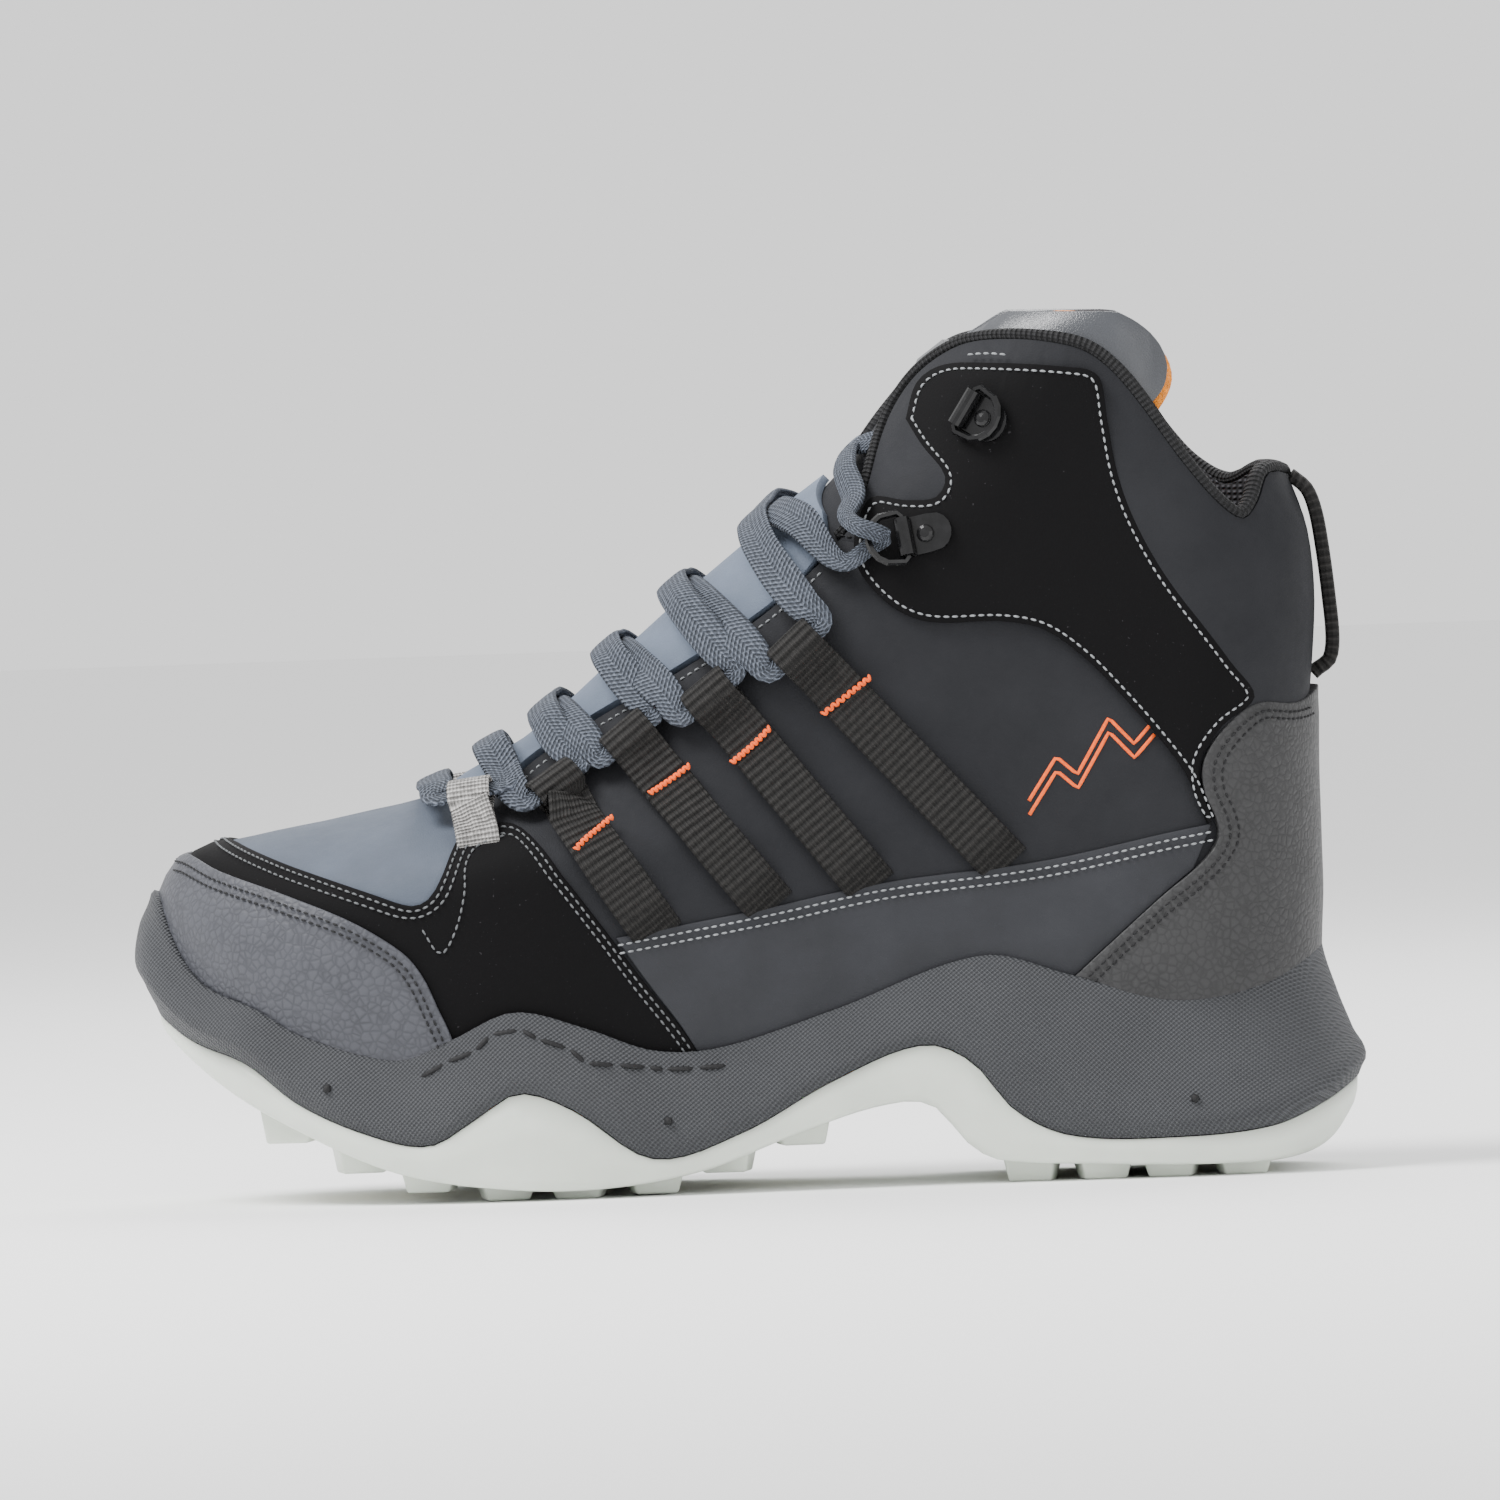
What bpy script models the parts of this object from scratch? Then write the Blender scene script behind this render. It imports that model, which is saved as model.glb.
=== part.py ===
"""A mid-cut hiking boot for the left foot, as an assembly of its separate pieces.

Frame: the toe points to -X and the heel to +X, the outer (lateral) side faces -Y, +Z is up,
and the origin lies under the middle of the boot, on the ground that its lugs stand on.
Outlines are written in millimetres, as (x, z) in the side view, and turned into metres by mm().
"""
import math

import bmesh
import bpy
from mathutils import Matrix, Vector

MM = 0.001
GAP = 0.3                      # air between touching pieces, mm

# ---------------------------------------------------------------- driving dimensions, mm
# The upper is a stack of tilted rings. Ring number k runs in the side view from FRONT[k], on the toe
# and the instep, to BACK[k], on the heel, and ring 0 is the feather line inside the sole.
FRONT = [(-136, 54), (-138.5, 64), (-138, 75), (-131, 85), (-115, 90), (-95, 93), (-74, 97),
         (-50, 108), (-28, 126), (-8, 143), (13, 160), (33, 180), (44, 197), (58, 213)]
BACK = [(133, 36), (134.5, 44), (135.5, 52), (136, 60), (136.5, 68), (136.5, 77), (136.5, 87),
        (136.5, 98), (137, 111), (138.5, 125), (139.5, 140), (138.5, 154), (135, 168), (127, 208)]
NOSE = [45, 45, 46, 52, 70, 90, 100, 80, 55, 45, 40, 38, 35, 35]     # how far back the toe end rounds
HEEL = [34, 34, 34, 34, 33, 32, 31, 30, 30, 30, 31, 33, 35, 35]      # how far forward the heel rounds
TOP_RING = len(FRONT) - 1
SAG_RINGS = 7.0                # rings above this one run straight from front to back
FEATHER = [(-136, 54), (-110, 37), (-80, 25), (-40, 19), (-10, 20), (20, 26), (45, 31), (80, 34),
           (133, 36)]
LATERAL_WIDTH = [(-140, 44), (-100, 47), (-60, 48), (-20, 43), (20, 37), (60, 34), (100, 34), (140, 34)]
MEDIAL_WIDTH = [(-140, 42), (-100, 45), (-60, 45), (-20, 38), (20, 32), (60, 32), (100, 34), (140, 34)]
SHAFT_WIDTH = 36.0             # half width of the ankle shaft
SHAFT_LOW, SHAFT_HIGH = 70.0, 150.0      # heights between which the foot turns into the shaft
TOE_SHIFT = 6.0                # the toe tip lies this far to the inner side

# Layers of the upper, as distances from the surface that the rings describe.
LINING = (-2.8, -1.6)
FOAM = (-1.3, 0.0)
BASE = (0.3, 1.6)
OVERLAY = (1.9, 3.1)
CAP = (3.4, 4.6)
TONGUE_PAD = (0.3, 3.6)

# Sole lines, as (x, height).
LIP = [(-138.4, 79), (-136, 69), (-132.5, 60), (-127, 53), (-116, 47.5), (-106, 40.8), (-85, 34.3),
       (-72, 38.5), (-57, 45), (-40, 40.5), (-24, 34.5), (-8, 34.5), (20, 42.5), (57, 54.5), (79, 49),
       (103, 42.7), (122, 46),
       (136, 55), (142, 63)]
WELT = [(-147, 50), (-136, 41), (-122, 35), (-110, 25.5), (-93, 17.6), (-78, 14.5), (-66, 21), (-56, 26.5),
        (-43, 22), (-24, 9.5), (-2, 15), (20, 26.5), (42, 34.5), (54, 30), (64, 18), (78, 11.3), (105, 10.2),
        (127, 12), (140, 17), (150, 23)]
CORE = [(-147, 50), (-130, 38), (-110, 25.5), (-85, 15), (-60, 9.5), (-20, 9.5), (0, 13.5), (20, 20.5),
        (40, 24), (52, 18), (62, 11.5), (105, 10.2), (127, 12), (150, 23)]
BASE_LINE = [(-147, 47), (-129, 30.5), (-110, 19), (-86, 8.2), (-60, 3.6), (-37, 2.8), (-12, 6.2), (12, 14.6),
             (32, 20.4), (44, 20), (53, 10), (60, 6.2), (85, 4.4), (112, 3.5), (130, 4), (141, 8), (150, 19)]
TREAD = [(-112, 15), (-95, 7.5), (-80, 3), (-66, 0.6), (-52, 0), (-38, 0), (-24, 0.4), (-8, 4.2), (10, 10),
         (30, 16), (58, 1.5), (66, 0), (126, 0), (138, 4.5)]

# How far the midsole wall stands out from the ring at its lip: share of its height, toe, side, heel.
WALL = [(0.0, 7.0, 5.8, 5.0), (0.3, 10.2, 8.2, 8.0), (0.65, 11.4, 10.0, 12.0), (0.88, 8.6, 10.4, 15.0),
        (1.0, 6.0, 9.6, 13.0)]
CUP_CLEARANCE = 1.0            # between the upper's outermost layer and the cup that holds it
RINGS_AROUND = 28
SOLE_AROUND = 60
LOWEST_RING = 0.2              # where the upper's pieces end, just above the feather line

FLOOR_DROP = 2.6               # from the feather line down to the midsole's floor
CORE_INSET = 8.0               # width of the raised rim on which wall and outsole meet
CORE_DROP = 1.8                # from that rim's inner edge down to the outsole
SHANK = (-15.0, 85.0, 14.0, 1.4)         # start, end, width, thickness
SHANK_DEPTH = 0.5              # its top below the midsole's floor

# Each row of lugs: place along the boot, and how far its inner and outer blocks lie from the middle.
LUG_ROWS = [(-112, 9, 27), (-95, 11, 34), (-78, 13, 39), (-60, 13, 41), (-42, 13, 40), (-24, 12, 37),
            (-6, 11, 33), (12, 10, 30), (68, 9, 29), (85, 10, 30), (102, 10, 30), (119, 9, 28)]
LUG_LENGTH, OUTER_LUG, INNER_LUG = 13.0, 13.0, 11.0     # fore and aft, and across
LUG_TWIST = 9.0                # degrees, one way and the other in turn
LUG_ROOT = 0.9                 # how far a lug reaches up into the outsole

LACE_RADIUS = 1.3
STRAP_WIDTH = 12.5
STRAP_THICKNESS = 1.1
STRAP_START = BASE[1] + 2.0    # middle of the strap's inner layer, over the surface
TOE_LOOP_START = TONGUE_PAD[1] + 1.4
LEG_STEP = 7.0                 # length of a straight stretch of webbing
# The fold round the lace, as (distance down the strap, height over its inner layer).
FOLD = [(2.5, -0.1), (-0.5, 0.1), (-3.4, 1.0), (-4.8, 3.0), (-3.8, 5.2), (-0.8, 6.4), (2.2, 5.6), (4.2, 3.2)]
EYE_MIDDLE = (-0.9, 3.1)
LOW_CROSSING, HIGH_CROSSING = 6.3, 9.9     # height of the lace over the surface on the tongue's ridge
RIDGE_START = 6.0              # ring at which the lacing starts

BARREL_LENGTH, BARREL_RADIUS, BORE_RADIUS = 9.6, 2.0, 1.25
WIRE_RADIUS = 0.9
PLATE_LIFT = OVERLAY[1] + 0.8  # underside of the hook plate over the surface
PLATE_THICKNESS = 0.8
BARREL_LIFT = PLATE_LIFT + BARREL_RADIUS
RIVET_AT = 5.0                 # from the barrel to the rivet
RIVET_SHAFT, RIVET_HEAD = 1.3, 2.2
LOWER_RING_REST = -155.0       # degrees, turned forward, away from its plate
UPPER_RING_REST = 0.0          # folded back over its plate

# Lacing: centre of each fold's eye and the bottom end of its strap, in the side view.
STRAPS = [((-43.6, 97.9), (-23.0, 66.8)), ((-25.0, 109.3), (4.0, 72.5)), ((-5.1, 119.5), (28.7, 76.3)),
          ((16.0, 130.4), (61.0, 80.5))]
TOE_LOOP = ((-64.8, 95.6), (-63.4, 87.4))
LOWER_HOOK = ((42.0, 157.5), (10.0, 1.6))     # barrel centre, and the way its plate points
UPPER_HOOK = ((57.7, 188.3), (8.5, -5.4))
# From the last crossing the lace goes under the lower ring and out through it, in the hook's frame, and
# is tucked in at the collar's edge: (x, z) in the side view and height over the surface.
RING_RUN = [(-14, -3, 1), (-9, -0.5, 0.2), (-4.6, 0.5, 2.1), (-5.5, 1.2, 6.0), (-9.0, 3.0, 8.2),
            (-12, 6.5, 5)]
LACE_TOP = [(33.5, 168.0, 7.6), (36.0, 175.0, 6.2)]

COLLECTION = "hiking_boot"
CUTTERS = "cutters"


# ---------------------------------------------------------------- small helpers
def mm(*values):
    """Millimetres to metres, as a vector."""
    return Vector(values) * MM


def line_at(points, x):
    """Height at x of the smooth line through points that run in order of x."""
    if x <= points[0][0]:
        return points[0][1]
    for index in range(len(points) - 1):
        (x0, z0), (x1, z1) = points[index], points[index + 1]
        if x <= x1:
            before = points[max(index - 1, 0)]
            after = points[min(index + 2, len(points) - 1)]
            slope0 = (z1 - before[1]) / (x1 - before[0])
            slope1 = (after[1] - z0) / (after[0] - x0)
            t = (x - x0) / (x1 - x0)
            rise = x1 - x0
            return ((2 * t**3 - 3 * t**2 + 1) * z0 + (t**3 - 2 * t**2 + t) * rise * slope0
                    + (3 * t**2 - 2 * t**3) * z1 + (t**3 - t**2) * rise * slope1)
    return points[-1][1]


def row_at(rows, position):
    """Value of a smooth curve through evenly spaced rows, numbers or points, at a fractional row."""
    index = min(max(int(position), 0), len(rows) - 2)
    t = position - index
    picked = [rows[min(max(index + shift, 0), len(rows) - 1)] for shift in (-1, 0, 1, 2)]
    numbers = [value if isinstance(value, tuple) else (value,) for value in picked]
    result = []
    for a, b, c, d in zip(*numbers):
        result.append(0.5 * (2 * b + (c - a) * t + (2 * a - 5 * b + 4 * c - d) * t**2
                             + (3 * b - a - 3 * c + d) * t**3))
    return tuple(result) if len(result) > 1 else result[0]


def ease(value, low, high):
    """Smooth step from 0 at low to 1 at high."""
    t = min(max((value - low) / (high - low), 0.0), 1.0)
    return t * t * (3 - 2 * t)


def round_off(share):
    """Height of a quarter circle at a share of its radius, and 1 past it."""
    share = min(max(share, 0.0), 1.0)
    return math.sqrt(1 - (1 - share) ** 2)


# ---------------------------------------------------------------- the surface of the upper
def side_point(ring, share):
    """Side view point on a ring, at a share of the way from its front to its back."""
    x0, z0 = row_at(FRONT, ring)
    x1, z1 = row_at(BACK, ring)
    x = x0 + share * (x1 - x0)
    (fx, fz), (bx, bz) = FRONT[0], BACK[0]
    low_share = min(max((x - fx) / (bx - fx), 0.0), 1.0)
    sag = fz + low_share * (bz - fz) - line_at(FEATHER, x)
    fade = max(1 - ring / SAG_RINGS, 0.0) ** 2
    return x, z0 + share * (z1 - z0) - sag * fade


def base_point(ring, turn):
    """Point of the surface, in mm: turn 0 is the front, pi the heel, between them the lateral side."""
    share = (1 - math.cos(turn)) / 2
    x, z = side_point(ring, share)
    (x0, z0), (x1, z1) = row_at(FRONT, ring), row_at(BACK, ring)
    span = math.hypot(x1 - x0, z1 - z0)
    lateral = math.sin(turn) >= 0
    foot = line_at(LATERAL_WIDTH if lateral else MEDIAL_WIDTH, x)
    foot *= 1 - 0.1 * max(1 - ring / 2, 0.0) ** 2
    width = foot + (SHAFT_WIDTH - foot) * ease(z, SHAFT_LOW, SHAFT_HIGH)
    width *= round_off(share * span / row_at(NOSE, ring))
    width *= round_off((1 - share) * span / row_at(HEEL, ring))
    middle = TOE_SHIFT * (1 - ease(x, FRONT[0][0], -60))
    return Vector((x, middle - width if lateral else middle + width, z))


def upper_point(ring, turn, offset=0.0):
    """Point of the surface moved out along its normal, in mm."""
    step = 0.02
    low, high = max(ring - step, 0.0), min(ring + step, TOP_RING)
    along = base_point(ring, turn + step) - base_point(ring, turn - step)
    up = base_point(high, turn) - base_point(low, turn)
    return base_point(ring, turn) + along.cross(up).normalized() * offset


def locate(x, z, side):
    """Ring and turn of the surface point that the side view shows at (x, z)."""
    low, high = 0.0, float(TOP_RING)
    for _ in range(40):
        ring = (low + high) / 2
        x0, x1 = row_at(FRONT, ring)[0], row_at(BACK, ring)[0]
        share = (x - x0) / (x1 - x0)
        if share < 0 or side_point(ring, min(share, 1.0))[1] > z:
            high = ring
        else:
            low = ring
    share = min(max(share, 0.0), 1.0)
    turn = math.acos(1 - 2 * share)
    return ring, turn if side < 0 else -turn


def foot_below(x, z, side, height):
    """Ring and turn of the surface under a point that the side view shows at (x, z), this high over it."""
    foot_x, foot_z = x, z
    for _ in range(8):
        ring, turn = locate(foot_x, foot_z, side)
        point = upper_point(ring, turn, height)
        foot_x += (x - point.x) * 0.7
        foot_z += (z - point.z) * 0.7
    return ring, turn


def surface_frame(x, z, side, offset, way):
    """Matrix of a place over the surface that the side view shows at (x, z).

    Local X runs along way in the side view, and local Z points out.
    """
    ring, turn = foot_below(x, z, side, offset)
    origin = upper_point(ring, turn, offset)
    out = (upper_point(ring, turn, offset + 1) - origin).normalized()
    along = Vector((way[0], 0, way[1]))
    along = (along - out * along.dot(out)).normalized()
    across = out.cross(along)
    matrix = Matrix((along, across, out)).transposed().to_4x4()
    matrix.translation = origin * MM
    return matrix


# ---------------------------------------------------------------- Blender helpers
def clear_scene():
    for item in list(bpy.data.objects):
        bpy.data.objects.remove(item)


def make_collections():
    for name in (COLLECTION, CUTTERS):
        collection = bpy.data.collections.new(name)
        bpy.context.scene.collection.children.link(collection)


def material(name, colour, roughness, metallic=0.0):
    made = bpy.data.materials.get(name)
    if made is None:
        made = bpy.data.materials.new(name)
        made.use_nodes = True
        shader = made.node_tree.nodes["Principled BSDF"]
        shader.inputs["Base Color"].default_value = (*colour, 1.0)
        shader.inputs["Roughness"].default_value = roughness
        shader.inputs["Metallic"].default_value = metallic
    return made


def slate_fabric():
    return material("slate_fabric", (0.10, 0.12, 0.15), 0.75)


def graphite_fabric():
    return material("graphite_fabric", (0.048, 0.051, 0.056), 0.8)


def pebbled_leather():
    return material("pebbled_leather", (0.075, 0.075, 0.08), 0.55)


def black_leather():
    return material("black_leather", (0.009, 0.009, 0.01), 0.6)


def black_webbing():
    return material("black_webbing", (0.017, 0.015, 0.013), 0.85)


def grey_webbing():
    return material("grey_webbing", (0.37, 0.36, 0.35), 0.85)


def orange_fleece():
    return material("orange_fleece", (0.80, 0.27, 0.02), 0.95)


def lining_mesh():
    return material("lining_mesh", (0.03, 0.03, 0.033), 0.9)


def foam_white():
    return material("foam_white", (0.75, 0.74, 0.70), 0.9)


def midsole_grey():
    return material("midsole_grey", (0.115, 0.115, 0.12), 0.6)


def outsole_rubber():
    return material("outsole_rubber", (0.62, 0.66, 0.64), 0.45)


def board_fibre():
    return material("board_fibre", (0.55, 0.47, 0.33), 0.85)


def stiffener_grey():
    return material("stiffener_grey", (0.5, 0.5, 0.48), 0.6)


def spring_steel():
    return material("spring_steel", (0.45, 0.45, 0.46), 0.35, 1.0)


def gunmetal():
    return material("gunmetal", (0.06, 0.06, 0.065), 0.25, 1.0)


def lace_braid():
    return material("lace_braid", (0.13, 0.15, 0.19), 0.85)


def place(item, finish, collection=COLLECTION):
    """Link an object and give it its one material."""
    for other in list(item.users_collection):
        other.objects.unlink(item)
    bpy.data.collections[collection].objects.link(item)
    if finish is not None:
        item.data.materials.clear()
        item.data.materials.append(finish)
    return item


def mesh_object(name, vertices, faces, finish, collection=COLLECTION):
    mesh = bpy.data.meshes.new(name)
    mesh.from_pydata([tuple(point * MM) for point in vertices], [], faces)
    build = bmesh.new()
    build.from_mesh(mesh)
    bmesh.ops.recalc_face_normals(build, faces=build.faces)
    if build.calc_volume(signed=True) < 0:
        bmesh.ops.reverse_faces(build, faces=build.faces)
    build.to_mesh(mesh)
    build.free()
    return place(bpy.data.objects.new(name, mesh), finish, collection)


def smooth(item, degrees=40):
    item.data.shade_smooth()
    item.data.set_sharp_from_angle(angle=math.radians(degrees))


def loft(name, rings, finish, closed_stack=False, collection=COLLECTION):
    """Skin over rings of equal count. A stack that isn't closed gets strips across its two ends.

    A closed stack goes up the outside and down the inside of a band. The skin is split into triangles
    along the same diagonals on both sides, so that surfaces that lie over each other stay parallel.
    """
    count = len(rings[0])
    vertices = [point for ring in rings for point in ring]
    faces = []
    last = len(rings) if closed_stack else len(rings) - 1
    for row in range(last):
        above = (row + 1) % len(rings)
        for k in range(count):
            after = (k + 1) % count
            a, b = row * count + k, row * count + after
            d, c = above * count + k, above * count + after
            if closed_stack and row >= len(rings) // 2:
                faces.extend([(a, b, d), (b, c, d)])
            else:
                faces.extend([(a, b, c), (a, c, d)])
    if not closed_stack:
        for start in (0, (len(rings) - 1) * count):
            faces.extend(end_strips(start, count))
    return mesh_object(name, vertices, faces, finish, collection)


def end_strips(start, count):
    """Triangles that close a ring by joining each point to the one opposite."""
    half = count // 2
    faces = [(start, start + 1, start + count - 1)]
    for k in range(1, half - 1):
        near, far = start + k, start + count - k
        faces.extend([(near, near + 1, far - 1), (near, far - 1, far)])
    faces.append((start + half - 1, start + half, start + half + 1))
    return faces


def cut(item, cutter, operation):
    change = item.modifiers.new(cutter.name, "BOOLEAN")
    change.operation = operation
    change.object = cutter
    change.solver = "EXACT"
    return item


def as_cutter(item):
    item.hide_render = True
    item.display_type = "WIRE"
    return item


def prism(name, outline, side):
    """Cutter that fills an outline of the side view: side -1 lateral, 1 medial, 0 across the boot."""
    reach = 80
    near, far = {-1: (-reach, -GAP / 2), 1: (GAP / 2, reach), 0: (-reach, reach)}[side]
    count = len(outline)
    vertices = [Vector((x, near, z)) for x, z in outline] + [Vector((x, far, z)) for x, z in outline]
    faces = [tuple(range(count)), tuple(range(2 * count - 1, count - 1, -1))]
    for k in range(count):
        after = (k + 1) % count
        faces.append((k, after, count + after, count + k))
    return as_cutter(mesh_object(name, vertices, faces, None, CUTTERS))


def shell(name, layer, finish, low=0, high=TOP_RING):
    """Band of the upper between two offsets of its surface, from one ring up to another."""
    levels = [max(ring, LOWEST_RING) for ring in range(low, high + 1)]
    turns = [2 * math.pi * k / RINGS_AROUND for k in range(RINGS_AROUND)]
    outer = [[upper_point(level, turn, layer[1]) for turn in turns] for level in levels]
    inner = [[upper_point(level, turn, layer[0]) for turn in turns] for level in reversed(levels)]
    return loft(name, outer + inner, finish, closed_stack=True)


def panel(name, outline, layer, side, finish, low=0, high=TOP_RING):
    """Piece of the upper: a band cut to an outline of the side view."""
    item = shell(name, layer, finish, low, high)
    cut(item, prism(name + "_outline", outline, side), "INTERSECT")
    item.modifiers[-1].solver = "MANIFOLD"      # EXACT loses some of these bands whole
    return item


def ribbon(name, path, across, width, thickness, finish):
    """Flat strip along a path in mm: across gives its width direction, thickness is laid either side."""
    rings = []
    for index, point in enumerate(path):
        way = (path[min(index + 1, len(path) - 1)] - path[max(index - 1, 0)]).normalized()
        wide = across[index] * (width / 2)
        thick = way.cross(across[index]).normalized() * (thickness / 2)
        rings.append([point + wide + thick, point + wide - thick, point - wide - thick, point - wide + thick])
    vertices = [corner for ring in rings for corner in ring]
    faces = [(3, 2, 1, 0), tuple(4 * (len(rings) - 1) + k for k in range(4))]
    for row in range(len(rings) - 1):
        for k in range(4):
            after = (k + 1) % 4
            faces.append((4 * row + k, 4 * row + after, 4 * row + 4 + after, 4 * row + 4 + k))
    return mesh_object(name, vertices, faces, finish)


def tube(name, points, radius, finish, cyclic=False, resolution=1):
    """Round wire or cord through points in mm."""
    data = bpy.data.curves.new(name, "CURVE")
    data.dimensions = "3D"
    spline = data.splines.new("POLY")
    spline.points.add(len(points) - 1)
    for knot, point in zip(spline.points, points):
        knot.co = (*(point * MM), 1.0)
    spline.use_cyclic_u = cyclic
    data.bevel_depth = radius * MM
    data.bevel_resolution = resolution
    data.use_fill_caps = True
    return place(bpy.data.objects.new(name, data), finish)


# ---------------------------------------------------------------- outlines of the upper's pieces, mm
EYESTAY = [(-67, 96.4), (-58, 98.2), (-48, 105.3), (-30, 116.4), (-13, 125.6), (8, 139), (21.5, 150.5)]
VAMP_REAR = [(-46, 10), (-52, 60), (-63, 86), (-67.5, 96), (-72, 99), (-72, 125)]
COLLAR_SEAM = [(27, 156.4), (60, 149.4), (86, 134), (104, 114), (112, 95.3), (150, 95.3)]
COLLAR_TOP = [(29.5, 159), (34, 168), (38.5, 181), (43, 190), (49, 197), (58, 202.5), (67, 204), (79, 203.3),
              (88, 200.6), (96.5, 192.6), (110, 172.6), (118, 162.5), (123.5, 158.8), (127, 162.5),
              (130, 169.5), (134.5, 168.7), (138.5, 165.5), (150, 150)]
ANKLE_TOP = [(45.9, 184.5), (49, 193), (54, 196.6), (61, 197.7), (86, 197), (90.5, 194.5), (92, 184.5),
             (94, 171.5), (97.5, 160.5), (103.5, 148.4), (111.6, 136), (118.6, 124.7), (124, 115.4)]
ANKLE_LOW = [(112.6, 85.4), (107.9, 98.2), (101, 108.2), (92.7, 118.2), (84.5, 127), (75, 134), (65.2, 136.3),
             (47, 136.8), (38, 141), (31.5, 149), (31.5, 157), (36, 165.4), (44, 165), (51, 166),
             (53.4, 170.8),
             (49, 178)]
COUNTER_FRONT = [(60, 30), (69, 40.9), (83.2, 52.6), (99.6, 66.7), (110.5, 76), (114.5, 82.1), (114, 87),
                 (111.8, 93.2), (112, 101), (116.8, 108.9), (124, 114.6), (132.9, 114.2), (139.4, 118.6),
                 (150, 119)]
SIDE_TOP = [(-31.6, 62.9), (4.4, 68.6), (33.8, 73.8), (73, 77.8), (103, 83.5), (114.5, 86)]
MUDGUARD_REAR = [(-3, 20), (-16, 40), (-25.5, 52.5), (-34.8, 65.8), (-44, 78.3), (-51, 86.4), (-55, 89),
                 (-63.4, 88.5), (-68, 86), (-72.8, 77.3), (-76, 73.6), (-80, 72.2), (-88.3, 74.2),
                 (-107.6, 79.9), (-120.6, 84.5), (-122.7, 87.6), (-119.5, 93), (-119.5, 110)]
CAP_REAR = [(-69, 10), (-71, 39.4), (-74.5, 48), (-77.9, 55.5), (-82.6, 61.3), (-93.3, 68.2), (-107.8, 73.6),
            (-124.7, 79), (-131.9, 82.7), (-133, 86.6), (-129, 92), (-129, 110)]
TONGUE_EDGE = [(-70.5, 97), (-45, 95), (-4, 119), (30, 147), (62, 165), (96, 178), (104, 184)]
TONGUE_TOP = [(104.5, 184.4), (113, 196), (107, 203), (98, 208.5), (84, 211.5), (70, 209), (52, 203),
              (38, 203)]
TONGUE_SPLIT = [(38, 193.6), (60, 193.6), (88, 189.5), (108, 186.5)]
FAR_TOE, FAR_HEEL, FAR_LOW, FAR_HIGH = -170, 170, -10, 230


def shifted(points, dx, dz):
    return [(x + dx, z + dz) for x, z in points]


def vamp_outline():
    return VAMP_REAR + [(FAR_TOE, 125), (FAR_TOE, FAR_LOW)]


def quarter_outline():
    front = shifted([point for point in VAMP_REAR if point[1] < 95], 2 * GAP, 0)
    return front + EYESTAY + shifted(COLLAR_SEAM, 0, -GAP) + [(FAR_HEEL, 95), (FAR_HEEL, FAR_LOW)]


def collar_outline():
    return COLLAR_TOP + shifted(list(reversed(COLLAR_SEAM)), 0, GAP)


def throat_outline():
    """The opening between the eyestays, from the vamp up to the collar's front edges."""
    edge = EYESTAY + COLLAR_TOP[:4]
    inner = shifted(edge, -0.6, 0.6)
    start = (-71.3, 99.6)
    return [start] + inner + [(43, 230), (FAR_TOE, FAR_HIGH), (-71.2, 110)]


def mudguard_outline():
    return MUDGUARD_REAR + [(FAR_TOE, 110), (FAR_TOE, FAR_LOW)]


def cap_outline():
    return CAP_REAR + [(FAR_TOE, 110), (FAR_TOE, FAR_LOW)]


def side_panel_outline():
    front = shifted(MUDGUARD_REAR[:4], 2 * GAP, 0)[:3]
    rear = shifted(COUNTER_FRONT[:6], -2 * GAP, GAP)
    return front + SIDE_TOP[:-1] + list(reversed(rear))


def counter_outline():
    return COUNTER_FRONT + [(FAR_HEEL, 119), (FAR_HEEL, FAR_LOW), (60, FAR_LOW)]


def ankle_outline():
    """The overlay narrows to a band that ends against the heel counter's front edge."""
    against = shifted(list(reversed(COUNTER_FRONT[7:11])), -2 * GAP, GAP)
    return ANKLE_TOP[:-1] + [(122.6, 117)] + against[1:] + ANKLE_LOW


def tongue_outline():
    """In front of the line where the lining ends, from the vamp up to the split below the tongue's top."""
    split = list(reversed(shifted(TONGUE_SPLIT[:-1], 0, -2 * GAP)))
    return TONGUE_EDGE + split + [(FAR_TOE, 193), (-75, 110)]


def tongue_top_outline():
    return TONGUE_SPLIT + TONGUE_TOP[1:]


def lining_outline():
    return (shifted(TONGUE_EDGE, 2 * GAP, -GAP) + [(118, 168)] + shifted(COLLAR_TOP[11:-1], 0.5, -1.0)
            + [(FAR_HEEL, 150), (FAR_HEEL, FAR_LOW), (FAR_TOE, FAR_LOW), (FAR_TOE, 125), (-72, 125)])


# ---------------------------------------------------------------- sole
def lip_ring(turn):
    """Fractional ring on which the surface meets the lip line of the sole."""
    low, high = 0.0, 6.0
    for _ in range(30):
        ring = (low + high) / 2
        point = base_point(ring, turn)
        if point.z > line_at(LIP, point.x):
            high = ring
        else:
            low = ring
    return ring


def cup_clearance(x):
    """The cup is wider where the toe cap's third layer goes down into it."""
    return CUP_CLEARANCE + OVERLAY[1] + (CAP[1] - OVERLAY[1]) * (1 - ease(x, -70, -55))


def wall_offset(row, turn):
    """Blend of a wall row's toe, side and heel values, by the place around the boot."""
    forward = (1 + math.cos(turn)) / 2
    toe, side, heel = row[1:]
    front = ease(forward, 0.80, 0.98)
    back = ease(1 - forward, 0.80, 0.98)
    return side + (toe - side) * front + (heel - side) * back


def plan_out(turn):
    """Horizontal outward direction of the boot's side at a turn."""
    here = base_point(1.0, turn)
    out = upper_point(1.0, turn, 1.0) - here
    out.z = 0
    return out.normalized()


def sole_turns():
    return [2 * math.pi * k / SOLE_AROUND for k in range(SOLE_AROUND)]


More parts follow.
